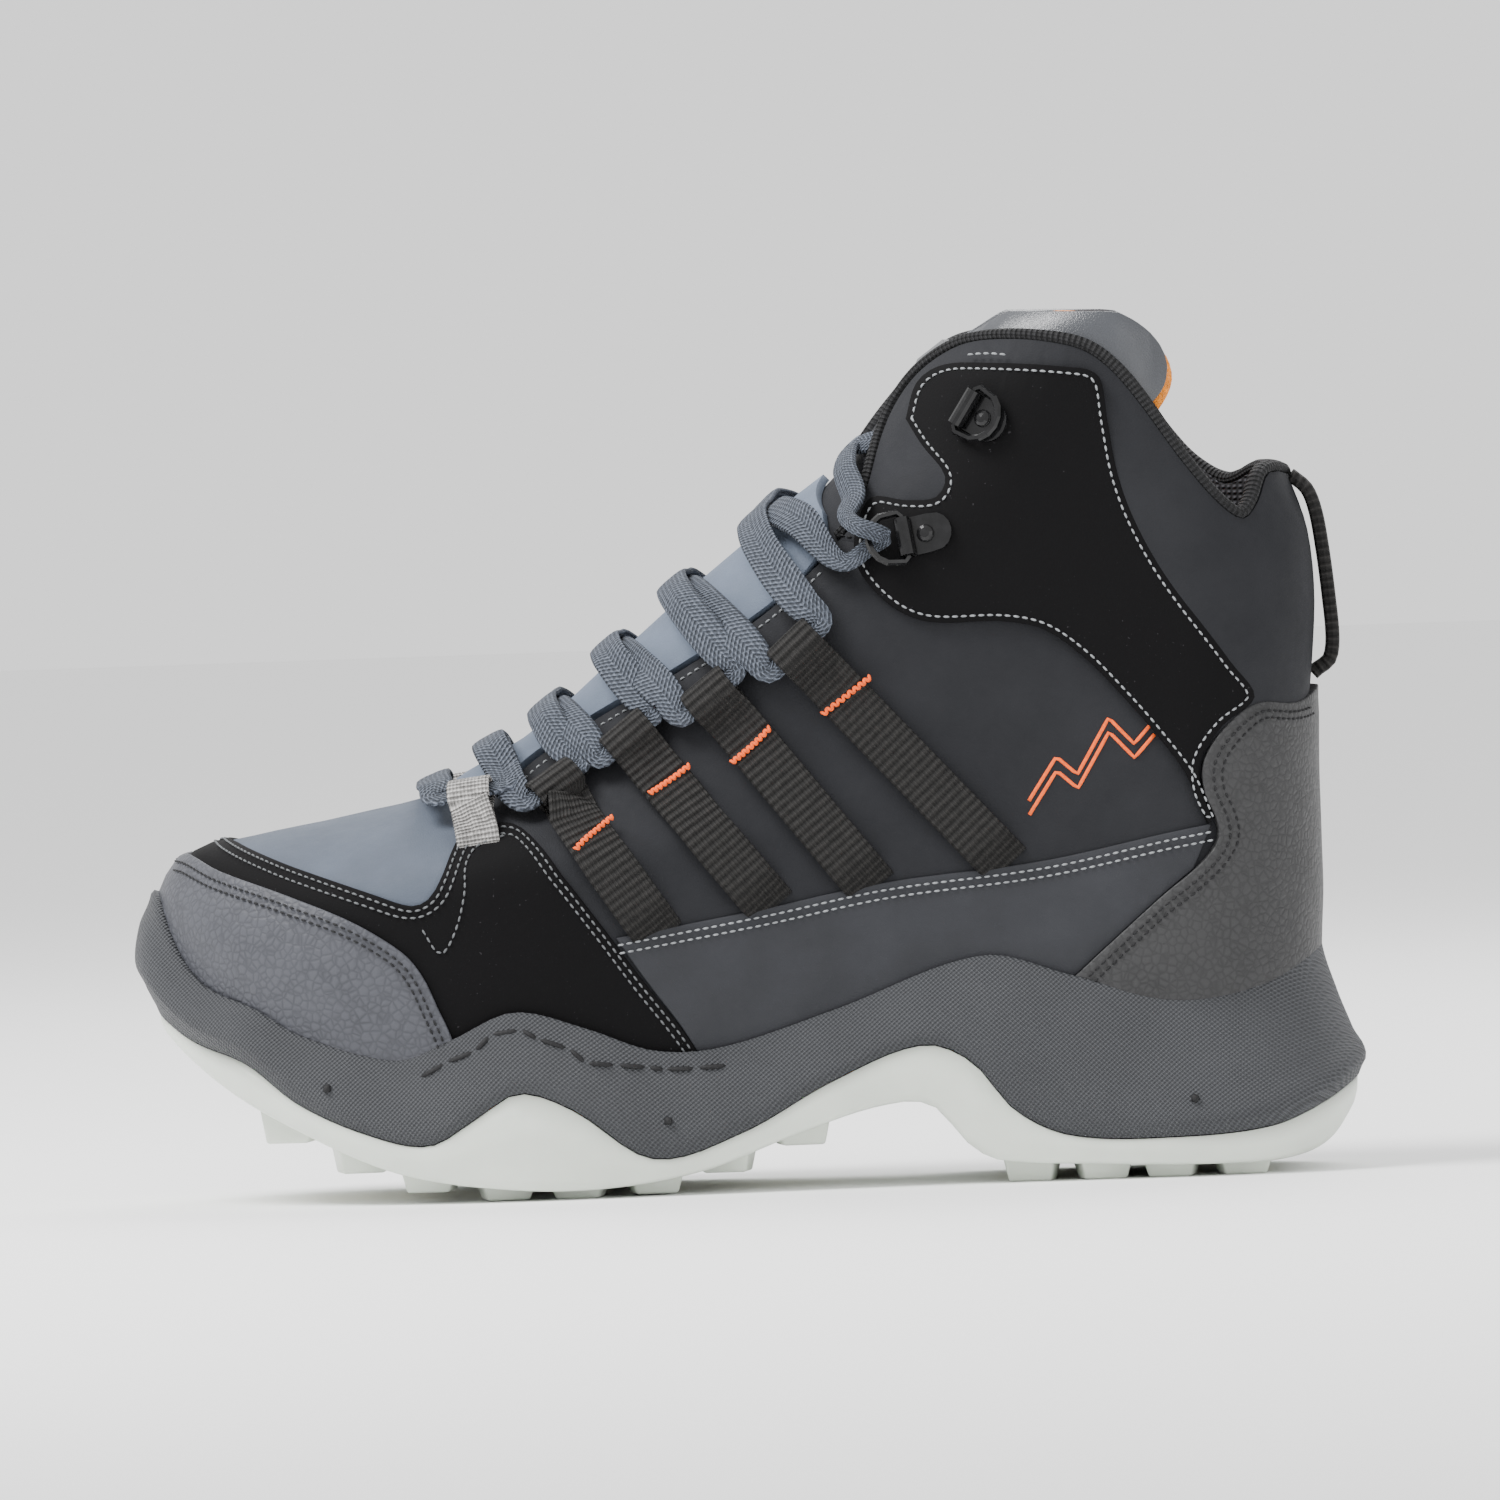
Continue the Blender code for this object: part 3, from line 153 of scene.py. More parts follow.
MUDGUARD_REAR = [(-6, 24), (-16, 40), (-25.5, 52.5), (-34.8, 65.8), (-44, 78.3), (-51, 86.4), (-55, 89),
                 (-63.4, 88.5), (-68, 86), (-72.8, 77.3), (-76, 73.6), (-80, 72.2), (-88.3, 74.2),
                 (-107.6, 79.9), (-118.0, 83.6), (-124.0, 86.2), (-126.4, 87.6)]
CAP_REAR = [(-69.6, 28), (-71, 39.4), (-74.5, 48), (-77.9, 55.5), (-82.6, 61.3), (-93.3, 68.2),
            (-107.8, 73.6), (-124.7, 79), (-131.9, 82.2), (-134.4, 82.6)]
VAMP_REAR = [(-46, 30), (-52, 60), (-63, 86), (-67.5, 96), (-71.5, 98.4), (-74, 98)]
TONGUE_EDGE = [(-70.5, 97), (-45, 95), (-4, 119), (30, 147), (62, 165), (96, 178), (104, 184)]
TONGUE_REAR = [(101, 182), (107, 188), (110, 193.7), (108.8, 199.5), (104, 204), (97, 207.8), (84, 211),
               (75, 211.4), (68, 210.6), (61, 207), (55, 204)]
LEATHER_REAR = [(98.5, 184.8), (103.5, 188), (107, 192.2), (108, 197.5), (106.5, 202), (102.5, 206.5),
                (96, 210.2), (84, 213.2), (75, 213.4), (68, 212.4), (61, 208.8), (55, 205.5)]
TONGUE_SPLIT = [(98.5, 184.8), (88, 189.5), (60, 193.6), (43, 195)]
THROAT = [(-71.3, 99.0), (-66, 96.6), (-57, 98.6), (-47.4, 105.3), (-29.4, 116.4), (-12.4, 125.6),
          (8.6, 139), (20, 148.5), (24.5, 156), (24.5, 162)]
QUARTER_FRONT = [(-46, 30), (-52, 60), (-62.5, 86), (-67, 96)]
SIDE_FRONT = [(-8.5, 27), (-16, 40.3), (-25, 52.8), (-31.6, 62.9)]
LINING_TOP = [(118, 167), (120.5, 160.5), (124, 157.8), (127.5, 161.5), (130.5, 168.5), (134.5, 167.7),
              (137.4, 165)]
MEDIAL_LINING_TOP = [(118, 170), (122.5, 167), (126.5, 168), (130.5, 170), (134.5, 168.5), (137.4, 165)]
PULL_ROUTE = [(136.8, 168.8), (140.6, 165.4), (142.6, 160), (144.0, 151), (145.2, 139), (145.8, 128.5),
              (144.8, 123.5), (142.0, 121.4), (140.6, 120.2)]
# V-shaped row of stitches behind the toe cap, on the mudguard.
NOTCH = [(-77.6, 66.6), (-73.5, 60.4), (-69.8, 66.0), (-67.2, 75.4), (-66.6, 80), (-64, 83.6), (-56.5, 86.2)]
# Three short stitches above the ankle overlay.
COLLAR_MARKS = [(61, 199.3), (65.5, 199.8), (70, 199.6)]
# Generic accent lines in place of the printed mark: two parallel ridge lines of hills.
ACCENT = [(70, 92.5), (77, 103), (82, 98.5), (90, 112), (96, 105.5), (101, 111)]
ACCENT_DROPS = (0.0, 3.4)
ACCENT_HEIGHT = 2.15

# Rings of the surface where pieces begin and end.
SOLE_RING = 0.2                # hidden in the sole
LINING_RING = 6.0              # where the lining's front starts on the ridge
TONGUE_PAD_PEAK = 10.55
TONGUE_PEAK = 12.5
FLEECE_PEAK = TONGUE_PEAK + 0.03
HEEL_TURN = math.pi - 0.004    # beside the seam at the heel

# ---------------------------------------------------------------- lacing and hardware
STRAP_WIDTH = 12.5
STRAPS = [((-43.6, 97.9), (-23.0, 66.8)), ((-25.0, 109.3), (4.0, 72.5)), ((-5.1, 119.5), (28.7, 76.3)),
          ((16.0, 130.4), (61.0, 80.5))]
TOE_LOOP = ((-64.8, 95.6), (-63.4, 87.4))
TOE_LOOP_END = (-64.0, 89.2)   # where it goes under the mudguard
TOE_LOOP_WIDTH = 10.5
STRAP_START = 3.6              # height of a strap's lower leg over the surface
TOE_LOOP_START = 5.0
LEG_START = 6.0                # run from the eye to where a strap's two legs lie together
LEG_STEP = 2.5
LEG_GAP = 1.5                  # height between the legs
STRAP_THICKNESS = 1.15
TUCK = 5.0                     # run of a strap hidden under the piece below it
TUCK_HEIGHT = 0.9
FOLD = [(2.5, -0.1), (-0.5, 0.1), (-3.4, 1.0), (-4.8, 3.0), (-3.8, 5.2), (-0.8, 6.4), (2.2, 5.6), (4.2, 3.2)]
EYE_MIDDLE = (-0.9, 3.1)
EYE_CLEARANCE = 2.2            # from a strap's side to where the lace bends
BARTACK_HEIGHT = 5.85
BARTACK_STEPS = 18
BARTACKS = [((-40.3, 84.8), (-31, 92.5)), ((-22, 97.6), (-12, 104.1)), ((-1.8, 104.3), (7.8, 112.5)),
            ((20.6, 115.2), (32.6, 123.9))]
LOWER_HOOK = ((42.0, 157.5), (10.0, 1.6))
BARREL_LIFT = 5.9
RING_RUN = [(-14, -3, 1), (-9, -0.5, 0.2), (-4.6, 0.5, 2.1), (-5.5, 1.2, 6.0), (-9.0, 3.0, 8.2),
            (-12, 6.5, 5)]
LACE_TOP = [(30.0, 167.5, 6.6), (28.2, 174.5, 4.8), (30.8, 179.4, 2.4), (37.5, 180.8, 0.0)]
LACE_WIDTH, LACE_THICKNESS = 9.0, 2.0
LOW_CROSSING, HIGH_CROSSING = 5.2, 7.4
CROSSING_SHARES = (0.14, 0.3, 0.5, 0.7, 0.86)
LEAN_LENGTH = 32.0             # the longer, the flatter the lace lies at the sides of the throat
BINDING_WIDTH, BINDING_HEIGHT = 3.4, 4.6
BINDING_INSET = 1.3            # of its middle from the collar's outline
PULL_WIDTH, PULL_THICKNESS = 16.0, 3.4
STITCH_LENGTH, STITCH_PITCH, STITCH_RADIUS = 2.1, 3.0, 0.27
SEAM_STEP = 1.5


# ================================================================ curves and the surface of the upper
def span_point(t, gap, start, end, start_slope, end_slope):
    """Point at share t of a smooth span, this long, between two points with given slopes."""
    return ((2 * t**3 - 3 * t**2 + 1) * start + (t**3 - 2 * t**2 + t) * gap * start_slope
            + (3 * t**2 - 2 * t**3) * end + (t**3 - t**2) * gap * end_slope)


def line_at(points, x):
    """Height at x of the smooth line through points that run in order of x."""
    if x <= points[0][0]:
        return points[0][1]
    for index in range(len(points) - 1):
        (x0, z0), (x1, z1) = points[index], points[index + 1]
        if x <= x1:
            before = points[max(index - 1, 0)]
            after = points[min(index + 2, len(points) - 1)]
            slope0 = (z1 - before[1]) / (x1 - before[0])
            slope1 = (after[1] - z0) / (after[0] - x0)
            return span_point((x - x0) / (x1 - x0), x1 - x0, z0, z1, slope0, slope1)
    return points[-1][1]


def row_at(rows, position):
    """Value of a smooth curve through evenly spaced rows at a fractional row."""
    index = min(max(int(position), 0), len(rows) - 2)
    t = position - index
    picked = [rows[min(max(index + shift, 0), len(rows) - 1)] for shift in (-1, 0, 1, 2)]
    numbers = [value if isinstance(value, tuple) else (value,) for value in picked]
    result = []
    for a, b, c, d in zip(*numbers):
        result.append(0.5 * (2 * b + (c - a) * t + (2 * a - 5 * b + 4 * c - d) * t**2
                             + (3 * b - a - 3 * c + d) * t**3))
    return tuple(result) if len(result) > 1 else result[0]


def around(count):
    """Evenly spaced angles round a circle."""
    return [2 * math.pi * k / count for k in range(count)]


def ease(value, low, high):
    """Smooth step from 0 at low to 1 at high."""
    t = min(max((value - low) / (high - low), 0.0), 1.0)
    return t * t * (3 - 2 * t)


def round_off(share):
    """Quarter circle from 0 to 1."""
    share = min(max(share, 0.0), 1.0)
    return math.sqrt(1 - (1 - share) ** 2)


def side_point(ring, share):
    """Side view point of a ring, at a share of its way from front to back."""
    x0, z0 = row_at(FRONT, ring)
    x1, z1 = row_at(BACK, ring)
    x = x0 + share * (x1 - x0)
    (fx, fz), (bx, bz) = FRONT[0], BACK[0]
    low_share = min(max((x - fx) / (bx - fx), 0.0), 1.0)
    sag = fz + low_share * (bz - fz) - line_at(FEATHER, x)
    fade = max(1 - ring / SAG_RINGS, 0.0) ** 2
    return x, z0 + share * (z1 - z0) - sag * fade


def middle_line(x):
    """Sideways place of the boot's middle, which turns inward at the toe."""
    return TOE_SHIFT * (1 - ease(x, FRONT[0][0], TOE_SHIFT_END))


def base_point(ring, turn):
    """Point of the upper's surface."""
    share = (1 - math.cos(turn)) / 2
    x, z = side_point(ring, share)
    (x0, z0), (x1, z1) = row_at(FRONT, ring), row_at(BACK, ring)
    span = math.hypot(x1 - x0, z1 - z0)
    lateral = math.sin(turn) >= 0
    foot = line_at(LATERAL_WIDTH if lateral else MEDIAL_WIDTH, x)
    foot *= 1 - 0.1 * max(1 - ring / 2, 0.0) ** 2
    width = foot + (SHAFT_WIDTH - foot) * ease(z, SHAFT_LOW, SHAFT_HIGH)
    width *= round_off(share * span / row_at(NOSE, ring))
    width *= round_off((1 - share) * span / row_at(HEEL, ring))
    middle = middle_line(x)
    return Vector((x, middle - width if lateral else middle + width, z))


def locate(x, z):
    """Ring and lateral turn of the surface point that the side view shows at (x, z)."""
    low, high = 0.0, float(TOP_RING)
    for _ in range(26):
        ring = (low + high) / 2
        x0, x1 = row_at(FRONT, ring)[0], row_at(BACK, ring)[0]
        share = (x - x0) / (x1 - x0)
        if share < 0 or side_point(ring, min(share, 1.0))[1] > z:
            high = ring
        else:
            low = ring
    return ring, math.acos(1 - 2 * min(max(share, 0.0), 1.0))


def surface_grid():
    """Points and outward normals of the upper on a fine grid of rings and turns."""
    rings = [k * RING_STEP for k in range(int(TOP_RING / RING_STEP) + 1)]
    turns = around(TURN_STEPS)
    points = np.array([[base_point(ring, turn) for turn in turns] for ring in rings])
    along = np.roll(points, -1, axis=1) - np.roll(points, 1, axis=1)
    normals = np.cross(along, np.gradient(points, axis=0))
    normals /= np.linalg.norm(normals, axis=2, keepdims=True)
    return points, normals


GRID, NORMALS = surface_grid()


def surface(turn, ring, height=0.0):
    """Points over the upper's surface, in mm, for arrays of turns and rings."""
    turn, ring = np.atleast_1d(turn).astype(float), np.atleast_1d(ring).astype(float)
    column = np.mod(turn / (2 * math.pi) * TURN_STEPS, TURN_STEPS)
    row = np.clip(ring / RING_STEP, 0, len(GRID) - 1.001)
    c0, r0 = np.floor(column).astype(int) % TURN_STEPS, np.floor(row).astype(int)
    c1, r1 = (c0 + 1) % TURN_STEPS, r0 + 1
    fc, fr = (column - np.floor(column))[:, None], (row - r0)[:, None]
    result = []
    for table in (GRID, NORMALS):
        low = table[r0, c0] * (1 - fc) + table[r0, c1] * fc
        high = table[r1, c0] * (1 - fc) + table[r1, c1] * fc
        result.append(low * (1 - fr) + high * fr)
    point, normal = result
    normal = normal / np.linalg.norm(normal, axis=1, keepdims=True)
    return point + normal * np.broadcast_to(height, turn.shape)[:, None]


def over(path, height):
    """Points at a height over the surface, along a path of (turn, ring)."""
    return surface(path[:, 0], path[:, 1], height)


def upper_point(turn, ring, height):
    """One point at a height over the surface."""
    return Vector(surface(turn, ring, height)[0])


def outward(turn, ring, height):
    """One point at a height over the surface, and the way that faces out there."""
    point = upper_point(turn, ring, height)
    return point, (upper_point(turn, ring, height + 1) - point).normalized()


def foot_below(x, z, side, height):
    """Turn and ring of the surface under a point that the side view shows at (x, z), this high over it."""
    foot_x, foot_z = x, z
    for _ in range(6):
        ring, turn = locate(foot_x, foot_z)
        point = upper_point(-side * turn, ring, height)
        foot_x += (x - point.x) * 0.7
        foot_z += (z - point.z) * 0.7
    return -side * turn, ring


def surface_frame(x, z, side, height, way):
    """Matrix, in mm, of a place over the surface: X along way in the side view, Z out."""
    origin, out = outward(*foot_below(x, z, side, height), height)
    along = Vector((way[0], 0, way[1]))
    along = (along - out * along.dot(out)).normalized()
    matrix = Matrix((along, out.cross(along), out)).transposed().to_4x4()
    matrix.translation = origin
    return matrix


def curve(points, step=2.0):
    """Smooth line through (x, z) points, resampled at about one step."""
    knots = np.array(points, float)
    gaps = np.linalg.norm(np.diff(knots, axis=0), axis=1)
    at = np.concatenate([[0], np.cumsum(gaps)])
    slopes = np.empty_like(knots)
    slopes[1:-1] = (knots[2:] - knots[:-2]) / (at[2:] - at[:-2])[:, None]
    slopes[0] = (knots[1] - knots[0]) / gaps[0]
    slopes[-1] = (knots[-1] - knots[-2]) / gaps[-1]
    result = [knots[0]]
    for k, gap in enumerate(gaps):
        count = max(int(round(gap / step)), 1)
        for j in range(1, count + 1):
            result.append(span_point(j / count, gap, knots[k], knots[k + 1], slopes[k], slopes[k + 1]))
    return np.array(result)


def inset(points, distance):
    """Line moved sideways by a distance: to the left of its own direction where positive."""
    way = np.gradient(np.asarray(points, float), axis=0)
    way /= np.maximum(np.linalg.norm(way, axis=1, keepdims=True), 1e-9)
    return points + np.column_stack([-way[:, 1], way[:, 0]]) * distance


def on_surface(points):
    """(turn, ring) of side view points, on the lateral side."""
    placed = [locate(x, z) for x, z in points]
    return np.array([(turn, ring) for ring, turn in placed])


def drawn(points):
    """(turn, ring) along the smooth line through side view points."""
    return on_surface(curve(points))


def mirrored(path, heel=False):
    """The same path on the medial side, reached past the toe's ridge, or past the heel."""
    other = path[::-1].copy()
    other[:, 0] = (2 * math.pi if heel else 0) - other[:, 0]
    return other


# ================================================================ meshes
def put(item):
    """Links an object into the scene."""
    bpy.context.scene.collection.objects.link(item)
    return item


def add_mesh(name, vertices, faces, finish):
    """Object from vertices in mm."""
    mesh = bpy.data.meshes.new(name)
    mesh.from_pydata((np.asarray(vertices, float) * MM).tolist(), [], [tuple(face) for face in faces])
    mesh.materials.append(finish)
    item = put(bpy.data.objects.new(name, mesh))
    mesh.shade_smooth()
    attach(item, "boot")
    return item


def band_faces(rows, count, first=0):
    """Quads between rings of points that follow each other."""
    faces = []
    for row in range(rows - 1):
        a, b = first + row * count, first + (row + 1) * count
        for k in range(count):
            n = (k + 1) % count
            faces.append((a + k, a + n, b + n, b + k))
    return faces


def soften(item, width, segments=2):
    """Rounds the cut edges of a piece."""
    bevel = item.modifiers.new("rounded_edges", "BEVEL")
    bevel.width = width * MM
    bevel.segments = segments
    bevel.limit_method = "ANGLE"
    bevel.angle_limit = EDGE_ANGLE


def dense(polygon, turn_step=0.03, ring_step=0.3):
    """Polygon of (turn, ring) with extra points along its long sides."""
    result = []
    for k, here in enumerate(polygon):
        after = polygon[(k + 1) % len(polygon)]
        count = int(max(abs(after[0] - here[0]) / turn_step, abs(after[1] - here[1]) / ring_step, 1))
        for j in range(count):
            result.append(here + (after - here) * j / count)
    return np.array(result)


def inside(points, polygon):
    """Which points lie inside a polygon."""
    hit = np.zeros(len(points), bool)
    for a, b in zip(polygon, np.roll(polygon, -1, axis=0)):
        crosses = (a[1] > points[:, 1]) != (b[1] > points[:, 1])
        with np.errstate(divide="ignore", invalid="ignore"):
            x = a[0] + (points[:, 1] - a[1]) * (b[0] - a[0]) / (b[1] - a[1])
        hit ^= crosses & (points[:, 0] < x)
    return hit


def fill(polygon, turn_step=0.03, ring_step=0.3):
    """Points and triangles that fill a polygon of (turn, ring), with an even grid inside it."""
    turns = np.arange(polygon[:, 0].min(), polygon[:, 0].max(), turn_step)
    rings = np.arange(polygon[:, 1].min(), polygon[:, 1].max(), ring_step)
    grid = np.array([(turn, ring) for turn in turns for ring in rings])
    grid = grid[inside(grid, polygon)]
    if len(grid):
        apart = np.linalg.norm((grid[:, None] - polygon[None]) * UNITS, axis=2).min(axis=1)
        grid = grid[apart > GRID_MARGIN]
    border = list(range(len(polygon)))
    everything = [Vector(point) for point in np.vstack([polygon, grid]) * UNITS]
    points, _, faces, _, _, _ = delaunay_2d_cdt(everything, [], [border], 1, 1e-5)
    return np.array([tuple(point) for point in points]) / UNITS, [tuple(face) for face in faces]


def rim(faces):
    """Directed edges that belong to one triangle only."""
    sides = {(face[k], face[(k + 1) % len(face)]) for face in faces for k in range(len(face))}
    return [side for side in sides if (side[1], side[0]) not in sides]


def panel(name, polygon, layer, finish, nodes=(), puff=0.0, reach=6.0, edge=0.4):
    """Sewn piece of the upper between two heights, swollen by puff away from its edges."""
    flat, faces = fill(dense(polygon))
    top = over(flat, layer[1])
    edges = rim(faces)
    if puff:
        border = top[[side[0] for side in edges]]
        away = np.array([np.linalg.norm(border - point, axis=1).min() for point in top])
        top = over(flat, layer[1] + puff * (1 - np.exp(-(away / reach) ** 2)))
    bottom = over(flat, layer[0])
    count = len(flat)
    solid = [face for face in faces] + [tuple(count + k for k in reversed(face)) for face in faces]
    solid += [(b, a, count + a, count + b) for a, b in edges]
    item = add_mesh(name, np.vstack([top, bottom]), solid, finish)
    turn_outward(item)
    soften(item, edge)
    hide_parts(*nodes)


def turn_outward(item):
    """Makes a closed mesh's faces look outward."""
    build = bmesh.new()
    build.from_mesh(item.data)
    bmesh.ops.recalc_face_normals(build, faces=build.faces)
    build.to_mesh(item.data)
    build.free()


def resample(points, step):
    """Points spaced evenly along a polyline."""
    points = np.asarray(points, float)
    at = np.concatenate([[0], np.cumsum(np.linalg.norm(np.diff(points, axis=0), axis=1))])
    stops = np.linspace(0, at[-1], max(int(round(at[-1] / step)), 1) + 1)
    return np.column_stack([np.interp(stops, at, points[:, k]) for k in range(points.shape[1])])


def sweep(name, path, outs, profile, finish, widths=None):
    """Band along a path. The profile's points are (across, out) shares; UVs are mm across and along."""
    path, outs = np.asarray(path, float), np.asarray(outs, float)
    way = np.gradient(path, axis=0)
    way /= np.linalg.norm(way, axis=1, keepdims=True)
    across = np.cross(way, outs)
    across /= np.linalg.norm(across, axis=1, keepdims=True)
    outs = np.cross(across, way)
    scale = np.ones(len(path)) if widths is None else np.asarray(widths)
    count = len(profile)
    vertices = []
    for k, point in enumerate(path):
        for a, b in profile:
            vertices.append(point + across[k] * a * scale[k] + outs[k] * b)
    faces = band_faces(len(path), count)
    faces.append(tuple(range(count - 1, -1, -1)))
    faces.append(tuple((len(path) - 1) * count + j for j in range(count)))
    item = add_mesh(name, vertices, faces, finish)
    along = np.concatenate([[0], np.cumsum(np.linalg.norm(np.diff(path, axis=0), axis=1))])
    layer = item.data.uv_layers.new(name="along").data
    for loop in item.data.loops:
        k, j = divmod(loop.vertex_index, count)
        layer[loop.index].uv = (profile[j][0], along[k])
    turn_outward(item)
    return item


def oval(width, thickness, count=14, square=0.6):
    """Rounded flat profile."""
    points = []
    for a in around(count):
        c, s = math.cos(a), math.sin(a)
        points.append((width / 2 * math.copysign(abs(c) ** square, c),
                       thickness / 2 * math.copysign(abs(s) ** square, s)))
    return points


def stitch_row(name, path, height, finish):
    """Row of separate stitches along a path of (turn, ring)."""
    stops = resample(np.hstack([over(path, height), over(path, height + 1)]), STITCH_PITCH)
    vertices, faces = [], []
    for here, after in zip(stops[:-1], stops[1:]):
        add_stitch(vertices, faces, here[:3], after[:3], here[3:] - here[:3],
                   STITCH_LENGTH / STITCH_PITCH, STITCH_RADIUS)
    return add_mesh(name, vertices, faces, finish)


def add_stitch(vertices, faces, start, end, out, share, radius):
    """One raised stitch, sunk at both ends."""
    way = end - start
    across = np.cross(way, out)
    across = across / max(np.linalg.norm(across), 1e-9) * radius
    out = out / np.linalg.norm(out) * radius
    first = len(vertices)
    sides = 6
    for t, size, lift in ((0, 0.35, -0.8), (0.25, 1, 0.1), (0.75, 1, 0.1), (1, 0.35, -0.8)):
        middle = start + way * share * t + out * lift
        for a in around(sides):
            vertices.append(middle + (across * math.cos(a) + out * math.sin(a)) * size)
    faces += band_faces(4, sides, first)
    faces.append(tuple(first + k for k in reversed(range(sides))))
    faces.append(tuple(first + 3 * sides + k for k in range(sides)))


def both_sides(path):
    """The lateral path and its medial twin."""
    twin = path.copy()
    twin[:, 0] = -twin[:, 0]
    return (("lateral", path), ("medial", twin))


# ================================================================ materials
class Nodes:
    """Short way to wire a material's nodes."""

    def __init__(self, name, colour, roughness, metallic=0.0, specular=0.3):
        self.material = bpy.data.materials.new(name)
        self.material.use_nodes = True
        self.tree = self.material.node_tree
        self.shader = self.tree.nodes["Principled BSDF"]
        self.shader.inputs["Base Color"].default_value = (*colour, 1)
        self.shader.inputs["Roughness"].default_value = roughness
        self.shader.inputs["Metallic"].default_value = metallic
        self.shader.inputs["Specular IOR Level"].default_value = specular
        self.colour = colour
        self.place = self.add("ShaderNodeTexCoord").outputs["Object"]

    def add(self, kind, **values):
        node = self.tree.nodes.new(kind)
        for key, value in values.items():
            setattr(node, key, value)
        return node

    def link(self, source, target):
        self.tree.links.new(source, target)

    def noise(self, scale, detail=4.0):
        """Soft random pattern."""
        node = self.add("ShaderNodeTexNoise")
        node.inputs["Scale"].default_value = scale
        node.inputs["Detail"].default_value = detail
        self.link(self.place, node.inputs["Vector"])
        return node.outputs["Fac"]

    def bands(self, scale, direction, source=None):
        """Parallel ribs."""
        node = self.add("ShaderNodeTexWave", bands_direction=direction)
        node.inputs["Scale"].default_value = scale
        node.inputs["Distortion"].default_value = 0.6
        node.inputs["Detail"].default_value = 1.0
        self.link(source or self.place, node.inputs["Vector"])
        return node.outputs["Fac"]

    def math(self, operation, a, b=None):
        """Result of a sum on sockets or numbers."""
        node = self.add("ShaderNodeMath", operation=operation)
        for socket, value in zip(node.inputs, (a, b)):
            if isinstance(value, (int, float)):
                socket.default_value = value
            elif value is not None:
                self.link(value, socket)
        return node.outputs[0]

    def mix(self, a, b, share):
        """One pattern plus a share of another."""
        return self.math("ADD", a, self.math("MULTIPLY", b, share))

    def wave(self, value, length):
        """Sine wave of this length along a coordinate."""
        return self.math("SINE", self.math("MULTIPLY", value, 2 * math.pi / length))

    def shade(self, factor, low, high, start=0.3, end=0.7):
        """Base colour that runs between two multiples of its own colour."""
        ramp = self.add("ShaderNodeValToRGB")
        ramp.color_ramp.elements[0].position = start
        ramp.color_ramp.elements[1].position = end
        ramp.color_ramp.elements[0].color = (*(c * low for c in self.colour), 1)
        ramp.color_ramp.elements[1].color = (*(min(c * high, 1) for c in self.colour), 1)
        self.link(factor, ramp.inputs["Fac"])
        self.link(ramp.outputs["Color"], self.shader.inputs["Base Color"])

    def rough(self, factor, low, high):
        """Roughness that runs between two values."""
        spread = self.add("ShaderNodeMapRange")
        spread.inputs["To Min"].default_value = low
        spread.inputs["To Max"].default_value = high
        self.link(factor, spread.inputs["Value"])
        self.link(spread.outputs["Result"], self.shader.inputs["Roughness"])

    def bump(self, height, strength, distance=0.0004):
        """Relief, on top of any earlier one."""
        node = self.add("ShaderNodeBump")
        node.inputs["Strength"].default_value = strength
        node.inputs["Distance"].default_value = distance
        self.link(height, node.inputs["Height"])
        previous = self.shader.inputs["Normal"].links
        if previous:
            self.link(previous[0].from_socket, node.inputs["Normal"])
        self.link(node.outputs["Normal"], self.shader.inputs["Normal"])


def nubuck(name, colour, roughness=0.72, specular=0.3):
    """Smooth synthetic nubuck: faint cloudiness and a very fine grain."""
    made = Nodes(name, colour, roughness, specular=specular)
    made.shade(made.noise(70, 6), 0.90, 1.10)
    made.rough(made.noise(400, 3), roughness - 0.1, roughness + 0.08)
    made.bump(made.noise(2400, 5), 0.45, 0.0003)
    made.bump(made.noise(110, 3), 0.18, 0.001)
    return made.material


def pebbled(name, colour):
    """Pebbled leather: rounded cells, with painted shade darkening the creases between them."""
    made = Nodes(name, colour, 0.5, specular=0.22)
    crease = made.add("ShaderNodeTexVoronoi", feature="DISTANCE_TO_EDGE")
    crease.inputs["Scale"].default_value = 500
    made.link(made.place, crease.inputs["Vector"])
    cell = made.math("MINIMUM", made.math("MULTIPLY", crease.outputs["Distance"], 3.5), 1.0)
    # Base colour: painted shade darkening the creases, mixed with real random tone.
    made.shade(made.mix(made.math("MULTIPLY", cell, 0.5), made.noise(120), 0.5), 0.7, 1.05, 0.15, 0.6)
    made.rough(made.noise(300), 0.40, 0.58)
    made.bump(cell, 0.6, 0.0002)
    made.bump(made.noise(1500, 4), 0.3, 0.0003)
    made.bump(made.noise(140, 3), 0.2, 0.001)
    return made.material


def suede(name, colour):
    """Matte black microfibre with scattered pale specks of dust."""
    made = Nodes(name, colour, 0.75, specular=0.08)
    made.shade(made.noise(1300, 2), 0.9, 9.0, 0.72, 0.80)
    made.bump(made.noise(1900, 4), 0.3, 0.0003)
    made.bump(made.noise(120, 3), 0.2, 0.001)
    return made.material


def waffle(name, colour, scale=230):
    """Spacer mesh: open cells in a grid."""
    made = Nodes(name, colour, 0.9)
    grid = made.math("MULTIPLY", made.bands(scale, "X"), made.bands(scale, "Z"))
    # Base colour follows the grid's relief: painted shade in the open cells and painted light on the raised
    # cords.
    made.shade(grid, 0.45, 1.7, 0.05, 0.7)
    made.bump(grid, 0.8, 0.0008)
    return made.material


def fleece(name, colour):
    """Short brushed pile."""
    made = Nodes(name, colour, 0.95)
    made.shade(made.noise(900, 6), 0.7, 1.2)
    made.bump(made.noise(1300, 6), 0.9, 0.0012)
    made.shader.inputs["Sheen Weight"].default_value = 0.35
    return made.material


